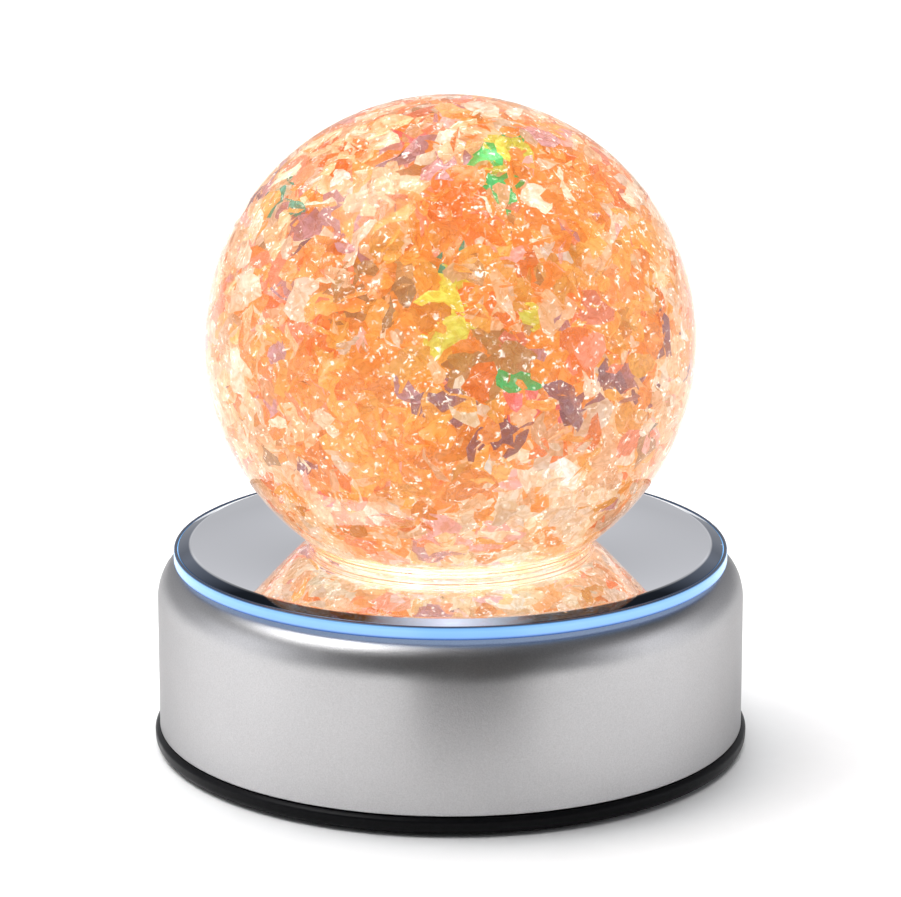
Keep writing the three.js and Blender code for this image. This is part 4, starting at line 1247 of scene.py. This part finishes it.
class Tint(Enum):
    """Flake colours, each with its screen colour and its share of the flakes."""

    ORANGE = ((254, 160, 68), 0.23)
    GOLD = ((250, 178, 80), 0.14)
    DEEP = ((250, 138, 50), 0.1)
    AMBER = ((226, 150, 56), 0.04)
    PEACH = ((255, 200, 150), 0.2)
    PALE = ((255, 226, 198), 0.11)
    PINK = ((254, 184, 170), 0.06)
    SALMON = ((253, 152, 110), 0.06)
    MAUVE = ((206, 148, 146), 0.02)
    PLUM = ((164, 112, 110), 0.008)
    LEMON = ((236, 226, 90), 0.004)
    GREEN = ((96, 214, 120), 0.0)
    TEAL = ((104, 170, 140), 0.0)
    BROWN = ((200, 146, 84), 0.01)
    ROSE = ((250, 130, 126), 0.006)
    # WHITE flakes are painted highlights: near-white flakes that stand in for sparkle.
    WHITE = ((255, 246, 236), 0.012)


@dataclass(frozen=True)
class Accent:
    """A patch of flakes of one colour: how far right and up it lies, and how wide and tall it is."""

    tint: Tint
    right: float
    up: float
    wide: float
    tall: float
    share: float


ACCENTS = (
    Accent(Tint.GOLD, 27.0, 10.0, 8.0, 12.0, 0.5),
    Accent(Tint.ORANGE, 16.0, 26.0, 12.0, 8.0, 0.5),
    Accent(Tint.BROWN, -13.0, 7.0, 7.0, 6.0, 0.5),
    Accent(Tint.LEMON, 0.5, 3.0, 3.0, 10.0, 0.85),
    Accent(Tint.LEMON, 13.5, 6.0, 2.6, 4.5, 0.6),
    Accent(Tint.LEMON, 8.0, 31.0, 3.0, 3.5, 0.6),
    Accent(Tint.BROWN, 6.0, -3.0, 6.0, 6.0, 0.75),
    Accent(Tint.GREEN, 7.0, 32.5, 2.2, 2.2, 0.9),
    Accent(Tint.GREEN, 8.0, 24.0, 1.6, 2.6, 0.9),
    Accent(Tint.GREEN, 10.5, -7.0, 2.2, 1.4, 0.9),
    Accent(Tint.TEAL, -29.5, 23.0, 3.0, 1.6, 0.9),
    Accent(Tint.TEAL, 0.5, 14.0, 2.0, 2.4, 0.8),
    Accent(Tint.MAUVE, -20.0, 19.0, 6.0, 3.5, 0.5),
    Accent(Tint.MAUVE, -5.0, 31.0, 7.0, 3.0, 0.4),
    Accent(Tint.PLUM, 9.0, -14.5, 5.0, 3.5, 0.45),
    Accent(Tint.PLUM, 30.0, -8.0, 4.0, 3.5, 0.45),
    Accent(Tint.PLUM, 20.0, -11.0, 3.5, 2.5, 0.45),
    Accent(Tint.PLUM, 0.0, -10.0, 3.0, 2.5, 0.4),
    Accent(Tint.ROSE, 14.0, -9.5, 5.0, 3.0, 0.5),
    Accent(Tint.ROSE, -7.0, 34.0, 4.0, 2.0, 0.4),
    Accent(Tint.PINK, 2.0, -33.0, 8.0, 3.0, 0.5),
    # The two WHITE patches are painted highlights: white flakes where the globe shows bright highlight
    # patches.
    Accent(Tint.WHITE, 19.0, -24.0, 5.5, 4.5, 0.6),
    Accent(Tint.WHITE, -18.0, 25.0, 6.0, 3.5, 0.4),
    Accent(Tint.PALE, 10.0, -27.0, 14.0, 8.0, 0.4),
)


@dataclass
class Globe:
    """The clear shell with its foot ring, the stopper, and the film flakes in clear gel."""

    wall: float = 1.0
    foot_radius: float = 26.2
    bore: float = 9.0
    floor_height: float = 3.4
    film: float = 0.05
    # How far the painted pool of lamp light on the flakes reaches, in millimetres.
    painted_light_reach: float = 15.0
    flakes_per_layer: int = 3100
    flake_grid: int = 4
    front_elevation: float = 13.7
    segments: int = 160

    def __post_init__(self) -> None:
        """Reads the globe's own size and place from the frame."""
        low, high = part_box("globe_shell")
        self.radius = (high.x - low.x) / 2 / MM
        self.foot = low.z / MM
        self.centre = high.z / MM - self.radius

    def arc(self, radius: float, low: float, high: float, steps: int) -> Profile:
        """Points on a circle about the globe's centre, between two heights: r = R cos t, z = c + R sin t."""
        start, end = (math.asin((height - self.centre) / radius) for height in (low, high))
        t = np.linspace(start, end, steps)
        points = np.stack([radius * np.cos(t), self.centre + radius * np.sin(t)], axis=-1)
        if math.isclose(high, self.centre + radius):
            points[-1, 0] = 0
        return points

    def build_shell(self) -> None:
        """Builds the wall and the gel as one clear body: the ball, its foot ring and its bore."""
        foot, rim = self.foot, self.foot_radius
        floor = foot + self.floor_height + 0.1
        outline = rounded([
            (0, floor, 0), (self.bore, floor, 0.2), (self.bore, foot, 0.1), (rim - 0.5, foot, 0.3),
            (rim + 0.05, foot + 0.35, 0.25), (rim - 0.2, foot + 0.75, 0.2),
            (rim + 0.05, foot + 1.1, 0.2), (rim - 0.15, foot + 1.45, 0.2), (rim + 0.4, foot + 1.95, 0.5),
        ], closed=False)
        outside = self.arc(self.radius, foot + 2.6, self.centre + self.radius, 64)
        piece = place("globe_and_gel", revolve(np.vstack([outline, outside]), self.segments))
        settle(piece, "globe", Slot.GLOBE, ["globe_shell"])

    def build_stopper(self) -> None:
        """Builds the stopper: a tapered plug with a rounded rim and a finger dimple."""
        low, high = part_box("filler_stopper")
        bottom, top = low.z / MM, high.z / MM
        outline = rounded([
            (0, bottom + 0.4, 0), (3.0, bottom + 0.3, 0.6), (5.0, bottom, 0.4), (8.5, bottom, 0.4),
            (8.35, top - 0.6, 0.4), (6.4, top - 0.25, 0.2), (6.2, top, 0.2), (0, top, 0),
        ], closed=False)
        piece = place("stopper_plug", revolve(outline, 72))
        settle(piece, "globe", Slot.GLOBE, ["filler_stopper"])

    def tints(self, places: np.ndarray, rng: np.random.Generator) -> np.ndarray:
        """Chooses a colour for each flake by share, then by the patch that it lies in.

        Args:
            places: Flake centres from the globe's centre, in millimetres.
            rng: The source of random numbers.

        Returns:
            One linear colour for each flake.
        """
        palette = np.array([linear(*tint.value[0]) for tint in Tint])
        shares = np.array([tint.value[1] for tint in Tint])
        order = list(Tint)
        x, y, z = places.T
        slow = np.sin(x / 7.3 + 1.1) * np.sin(y / 6.1) * np.sin(z / 6.7 + 0.4)
        chosen = rng.choice(len(order), len(places), p=shares / shares.sum())
        dusky = (slow > 0.5) & (rng.random(len(places)) < 0.12)
        dark_pair = [order.index(Tint.MAUVE), order.index(Tint.PLUM)]
        chosen = np.where(dusky, rng.choice(dark_pair, len(places)), chosen)
        broad = np.sin(x / 11.0 + 2.0) + np.sin(y / 9.0) + np.sin(z / 10.0 + 0.9)
        for rule, share, pair in (
            (broad > 0.7, 0.55, (Tint.ORANGE, Tint.GOLD)),
            (broad < -0.7, 0.5, (Tint.PEACH, Tint.PALE)),
            (slow < -0.4, 0.35, (Tint.DEEP, Tint.SALMON)),
        ):
            drawn = rule & (rng.random(len(places)) < share)
            chosen = np.where(drawn, rng.choice([order.index(tint) for tint in pair], len(places)), chosen)
        lean = math.radians(self.front_elevation)
        up = y * math.sin(lean) + z * math.cos(lean)
        ahead = z * math.sin(lean) - y * math.cos(lean)
        for accent in ACCENTS:
            reach = ((x - accent.right) / accent.wide) ** 2 + ((up - accent.up) / accent.tall) ** 2
            hit = (ahead > 0) & (reach < 1) & (rng.random(len(places)) < accent.share)
            chosen = np.where(hit, order.index(accent.tint), chosen)
        shade_by = rng.uniform(0.88, 1.1, (len(places), 1))
        return np.clip(palette[chosen] * shade_by, 0, 1)

    def build_flakes(
        self, name: str, depth: tuple[float, float], size: tuple[float, float], rng: np.random.Generator
    ) -> Piece:
        """Builds one layer of film flakes.

        Each flake is a square grid pressed to an uneven disc, x = u sqrt(1 - v^2 / 2), curled by x^2 and
        folded by two sine waves, then turned to its own way, held inside the wall and given a thickness.

        Args:
            name: The layer's name.
            depth: Nearest and furthest distance of the flakes from the globe's centre, in millimetres.
            size: Smallest and largest half-length of a flake, in millimetres.
            rng: The source of random numbers.

        Returns:
            The finished piece.
        """
        count, grid = self.flakes_per_layer, self.flake_grid
        away = rng.normal(size=(count, 3))
        away /= np.linalg.norm(away, axis=1, keepdims=True)
        centres = away * rng.uniform(depth[0] ** 2, depth[1] ** 2, (count, 1)) ** 0.5
        tilt = away * rng.uniform(0.5, 1.6, (count, 1)) + rng.normal(size=(count, 3)) * 0.55
        normal = tilt / np.linalg.norm(tilt, axis=1, keepdims=True)
        side = np.cross(normal, rng.normal(size=(count, 3)))
        side /= np.linalg.norm(side, axis=1, keepdims=True)
        other = np.cross(normal, side)

        v, u = (a.reshape(-1) for a in np.meshgrid(np.linspace(-1, 1, grid), np.linspace(-1, 1, grid)))
        x = (u * np.sqrt(1 - v**2 / 2))[None, :]
        y = (v * np.sqrt(1 - u**2 / 2))[None, :]
        angle = np.arctan2(y, x)
        phase = rng.uniform(0, 2 * np.pi, (count, 4))
        uneven = 1 + 0.26 * np.sin(2 * angle + phase[:, :1]) + 0.2 * np.sin(3 * angle + phase[:, 1:2])
        x, y = x * uneven, y * uneven
        long = rng.uniform(*size, (count, 1))
        short = long * rng.uniform(0.45, 0.95, (count, 1))
        curl = rng.uniform(-0.35, 0.35, (count, 1)) * long
        fold = rng.uniform(0.06, 0.24, (count, 1)) * long
        wave = np.sin(3.1 * x + 1.3 * y + phase[:, 2:3])
        small_wave = 0.6 * fold * np.sin(4.2 * y + phase[:, 3:])
        height = curl * (x**2 - 0.3) + fold * wave + small_wave

        along, across, up = (axis[:, None, :] for axis in (side, other, normal))
        flat = centres[:, None, :] + (x * long)[..., None] * along + (y * short)[..., None] * across
        front = flat + height[..., None] * up
        limit = self.radius - self.wall - rng.uniform(0, 0.5, (count, 1, 1))
        reach = np.linalg.norm(front, axis=2, keepdims=True)
        front = front * np.minimum(1, limit / reach)
        back = front - self.film * up
        floor = self.foot + self.floor_height + 0.5 - self.centre + rng.uniform(0, 0.5, (count, 1))
        front[..., 2] = np.maximum(front[..., 2], floor)
        back[..., 2] = np.maximum(back[..., 2], floor - self.film)

        cells = grid * grid
        sheet = grid_quads(grid, grid, wrap_columns=False)
        border = np.concatenate([
            np.arange(grid), np.arange(1, grid) * grid + grid - 1,
            cells - 2 - np.arange(grid - 1), (np.arange(grid - 2, 0, -1)) * grid,
        ])
        following = np.roll(border, -1)
        edge = np.stack([border + cells, following + cells, following, border], axis=-1)
        one = np.concatenate([sheet[:, ::-1], sheet + cells, edge[:, ::-1]])
        quads = (one[None] + (np.arange(count) * 2 * cells)[:, None, None]).reshape(-1, 4)
        points = np.concatenate([front, back], axis=1).reshape(-1, 3)
        points[:, 2] += self.centre
        surface = Surface().add(points * MM, [quads])

        tint = self.tints(centres, rng)
        # Painted light: each flake's glow colour, whiter and brighter the nearer it lies to the centre lamp,
        # a painted pool of lamp light, times a random brightness.
        lamp = np.array([0.0, -8.0, self.foot + 1.0 - self.centre])
        near = np.exp(-(np.linalg.norm(centres - lamp, axis=1) / self.painted_light_reach) ** 2)
        lit = 0.66 + 0.2 * near + rng.uniform(-0.1, 0.16, count)
        light = np.clip(tint + (0.02, 0.03, 0.05) + 1.3 * near[:, None], 0, 1) * lit[:, None]
        piece = place(name, surface, closed=False)
        for label, values in (("flake_tint", tint), ("flake_painted_light", light)):
            layer = piece.data.attributes.new(label, "FLOAT_COLOR", "POINT")
            each = np.repeat(values, 2 * cells, axis=0)
            colours = np.concatenate([each, np.ones((len(each), 1))], axis=1)
            layer.data.foreach_set("color", colours.astype(np.float32).reshape(-1))
        return piece

    def build_filling(self) -> None:
        """Builds the flakes in two layers, and the middle behind them with its painted glow."""
        rng = np.random.default_rng(SEED)
        outer = self.build_flakes("flakes_at_the_wall", (39.0, 43.4), (2.1, 4.7), rng)
        settle(outer, "globe", Slot.FLAKE, ["flake_filling"])
        inner = self.build_flakes("flakes_in_the_gel", (33.0, 39.5), (2.4, 5.4), rng)
        settle(inner, "globe", Slot.FLAKE)
        self.build_middle()

    def build_middle(self) -> None:
        """Builds the middle with its painted glow, a lumpy ball: r = R + a cos t sin(3 u + 4 t) + b cos^2 t
        sin 7 u.
        """
        rows, columns, radius, lumps = 60, 96, 31.5, (1.3, 0.8)
        t = np.linspace(-np.pi / 2, np.pi / 2, rows)[:, None]
        around = np.linspace(0, 2 * np.pi, columns, endpoint=False)
        slow = lumps[0] * np.cos(t) * np.sin(3 * around + 4 * t)
        quick = lumps[1] * np.cos(t) ** 2 * np.sin(7 * around)
        lump = radius + slow + quick
        floor = self.foot + self.floor_height + 1 - self.centre
        z = np.maximum(lump * np.sin(t), floor) + self.centre
        flat = lump * np.cos(t)
        points = np.stack([flat * np.cos(around), flat * np.sin(around), z], axis=-1).reshape(-1, 3) * MM
        core = place("gel_middle", Surface().add(points, [grid_quads(rows, columns)]))
        settle(core, "globe", Slot.FLAKE, material=CoreFinish("deep_flakes_painted_glow").build())

    def build(self) -> None:
        """Builds the whole globe."""
        self.build_shell()
        self.build_stopper()
        self.build_filling()


# ------------------------------------------------------------------ frame pieces that stay


def dress_frame() -> None:
    """Gives every CAD node that is still shown its slot's finish."""
    for entry in frame["record"]["subparts"]:
        node = frame["nodes"][entry["node"]]
        if node.hide_render:
            continue
        material = MATERIALS[Slot(entry["material_slot"])]
        node.data.materials.clear()
        node.data.materials.append(material)


# ------------------------------------------------------------------ studio


@dataclass(frozen=True)
class Softbox:
    """A studio lamp. One that shiny surfaces see is an ellipse whose light fades towards its edge."""

    name: str
    stands_at: Place
    aims_at: Place
    size: tuple[float, float]
    watts: float
    seen_in_gloss: bool = False
    colour: Colour = (1.0, 1.0, 1.0)

    def build(self) -> None:
        """Adds the lamp to the scene."""
        data = bpy.data.lights.new(self.name, "AREA")
        data.shape = "ELLIPSE" if self.seen_in_gloss else "RECTANGLE"
        data.size, data.size_y = self.size
        data.energy = self.watts
        data.color = self.colour
        if self.seen_in_gloss:
            self.fade(data)
        box = bpy.data.objects.new(self.name, data)
        bpy.context.scene.collection.objects.link(box)
        box.location = self.stands_at
        way = Vector(self.aims_at) - Vector(self.stands_at)
        box.rotation_euler = way.to_track_quat("-Z", "Y").to_euler()
        box.visible_glossy = self.seen_in_gloss

    @staticmethod
    def fade(data: bpy.types.Light) -> None:
        """Dims the lamp from its middle to nothing at its edge."""
        data.use_nodes = True
        wiring = Wiring(data.node_tree)
        spot = wiring.node("VectorMath", {"operation": "DISTANCE"})
        wiring.feed(spot.inputs[0], wiring.node("NewGeometry").outputs["Parametric"])
        wiring.feed(spot.inputs[1], (0.5, 0.5, 0.0))
        strength = wiring.ramp(spot.outputs["Value"], 0.1, 0.5, 2.2, 0.0)
        light = wiring.node("Emission", Strength=strength)
        wiring.feed(wiring.node("OutputLight").inputs["Surface"], light.outputs[0])


SOFTBOXES = (
    Softbox("overhead_fill", (-0.25, 1.1, 1.9), (-0.2, 0.85, 0), (3.4, 2.6), 92.0),
    Softbox("high_left_box", (-0.62, 0.0, 1.2), (0, 0, 0.03), (1.2, 1.0), 9.0, seen_in_gloss=True),
    Softbox("left_fill", (-1.3, 0.3, 0.8), (-0.2, 0.1, 0), (0.6, 0.6), 2.0),
    Softbox("lamp_light", (0, 0, 0.0352), (0, 0, 0.2), (0.008, 0.008), 0.07, colour=(0.95, 0.95, 1.0)),
)


LIGHT_BY_HEIGHT = (
    (0.0, 0.62), (0.12, 0.6), (0.19, 0.62), (0.27, 0.54), (0.34, 0.7), (0.46, 0.5), (0.6, 0.09), (1.0, 0.05),
)
LIGHT_BY_WAY = ((0.0, 0.1), (0.12, 0.14), (0.26, 0.8), (0.4, 2.6), (0.55, 2.4), (0.72, 0.9), (1.0, 0.95))


@dataclass
class Studio:
    """A pale floor, a soft studio and the camera."""

    distance: float = 0.715
    camera_height: float = 0.2501
    pitch: float = 15.24
    lens: float = 161.4
    floor_radius: float = 9.0
    floor_sag: float = 1e-6
    flag_left: float = -20.0
    flag_right: float = 50.0
    flag_front: float = -112.0
    flag_top: float = 90.0

    def floor(self) -> None:
        """Builds the floor, a wide round sheet that sinks by a hair with distance: z = -k r^2."""
        radius = np.concatenate([[0.0], np.geomspace(0.02, self.floor_radius, 40)])
        outline = np.stack([radius / MM, -self.floor_sag * radius**2 / MM], axis=-1)
        sheet = place("floor", revolve(outline, 96), closed=False)
        weld(sheet.data)
        finish = Finish("pale_floor", (0.93, 0.93, 0.93), 0.5, 0.0, 0.05, 120.0, 0.01, 0.008, dust=0.0)
        sheet.data.materials.append(finish.build())
        if sheet.data.polygons[0].normal.z < 0:
            sheet.data.flip_normals()

    def flag(self) -> None:
        """Stands a dark card before the object; only shiny surfaces see it, as a soft dark band."""
        left, right, near, top = self.flag_left, self.flag_right, self.flag_front, self.flag_top
        corners = np.array([(left, near, 0.5), (right, near, 0.5), (right, near, top), (left, near, top)])
        card = place("front_flag", Surface().add(corners * MM, [np.arange(4)[None, :]]), closed=False)
        finish = Finish("grey_card", (0.05, 0.05, 0.05), 0.9, 0.0, 0.02, 300.0, 0.02, 0.05)
        card.data.materials.append(finish.build())
        card.visible_camera = False
        card.visible_diffuse = False
        card.visible_transmission = False
        card.visible_shadow = False

    def surroundings(self) -> None:
        """Lights the studio by height and by way: bright at the horizon, dark overhead and in front."""
        world = bpy.data.worlds.new("studio")
        bpy.context.scene.world = world
        world.use_nodes = True
        wiring = Wiring(world.node_tree)
        way = wiring.node("SeparateXYZ", Vector=wiring.node("TexCoord").outputs["Generated"])
        rising = self.steps(wiring, way.outputs["Z"], LIGHT_BY_HEIGHT)
        turned = wiring.ramp(way.outputs["Y"], -1.0, 1.0, 0.0, 1.0)
        facing = self.steps(wiring, turned, LIGHT_BY_WAY)
        light = wiring.scaled(rising, facing)
        background = wiring.node("Background", Color=light, Strength=1.0)
        wiring.feed(wiring.node("OutputWorld").inputs["Surface"], background.outputs[0])

    @staticmethod
    def steps(wiring: Wiring, value: Socket, stops: Sequence[tuple[float, float]]) -> Socket:
        """A ramp of faintly blue greys through the stops, each a place and a level."""
        ramp = wiring.node("ValToRGB", Fac=value)
        points = ramp.color_ramp.elements
        while len(points) < len(stops):
            points.new(0.5)
        for point, (at, level) in zip(points, stops):
            point.position = at
            point.color = (level * 0.985, level * 0.99, level * 1.01, 1.0)
        return ramp.outputs[0]

    def camera(self) -> None:
        """Places the camera in front of the object, above it and tipped down."""
        data = bpy.data.cameras.new("camera")
        data.lens = self.lens
        data.sensor_width = 36.0
        data.clip_start = 0.01
        camera = bpy.data.objects.new("camera", data)
        bpy.context.scene.collection.objects.link(camera)
        camera.location = (0.0, -self.distance, self.camera_height)
        camera.rotation_euler = (math.radians(90 - self.pitch), 0, 0)
        bpy.context.scene.camera = camera

    def build(self) -> None:
        """Builds the studio."""
        self.camera()
        self.floor()
        self.flag()
        for softbox in SOFTBOXES:
            softbox.build()
        self.surroundings()
        bpy.context.scene.view_settings.view_transform = "Standard"


def main() -> None:
    """Builds every part in order."""
    logging.basicConfig(level=logging.INFO, format="%(message)s")
    Studio().build()
    casing = Casing()
    casing.build()
    fittings = BackFittings(casing)
    fittings.build_jack()
    fittings.build_knob()
    Tray().build()
    Fasteners().build()
    LightEngine().build()
    Turntable().build()
    Globe().build()
    dress_frame()


if __name__ == "__main__":
    main()
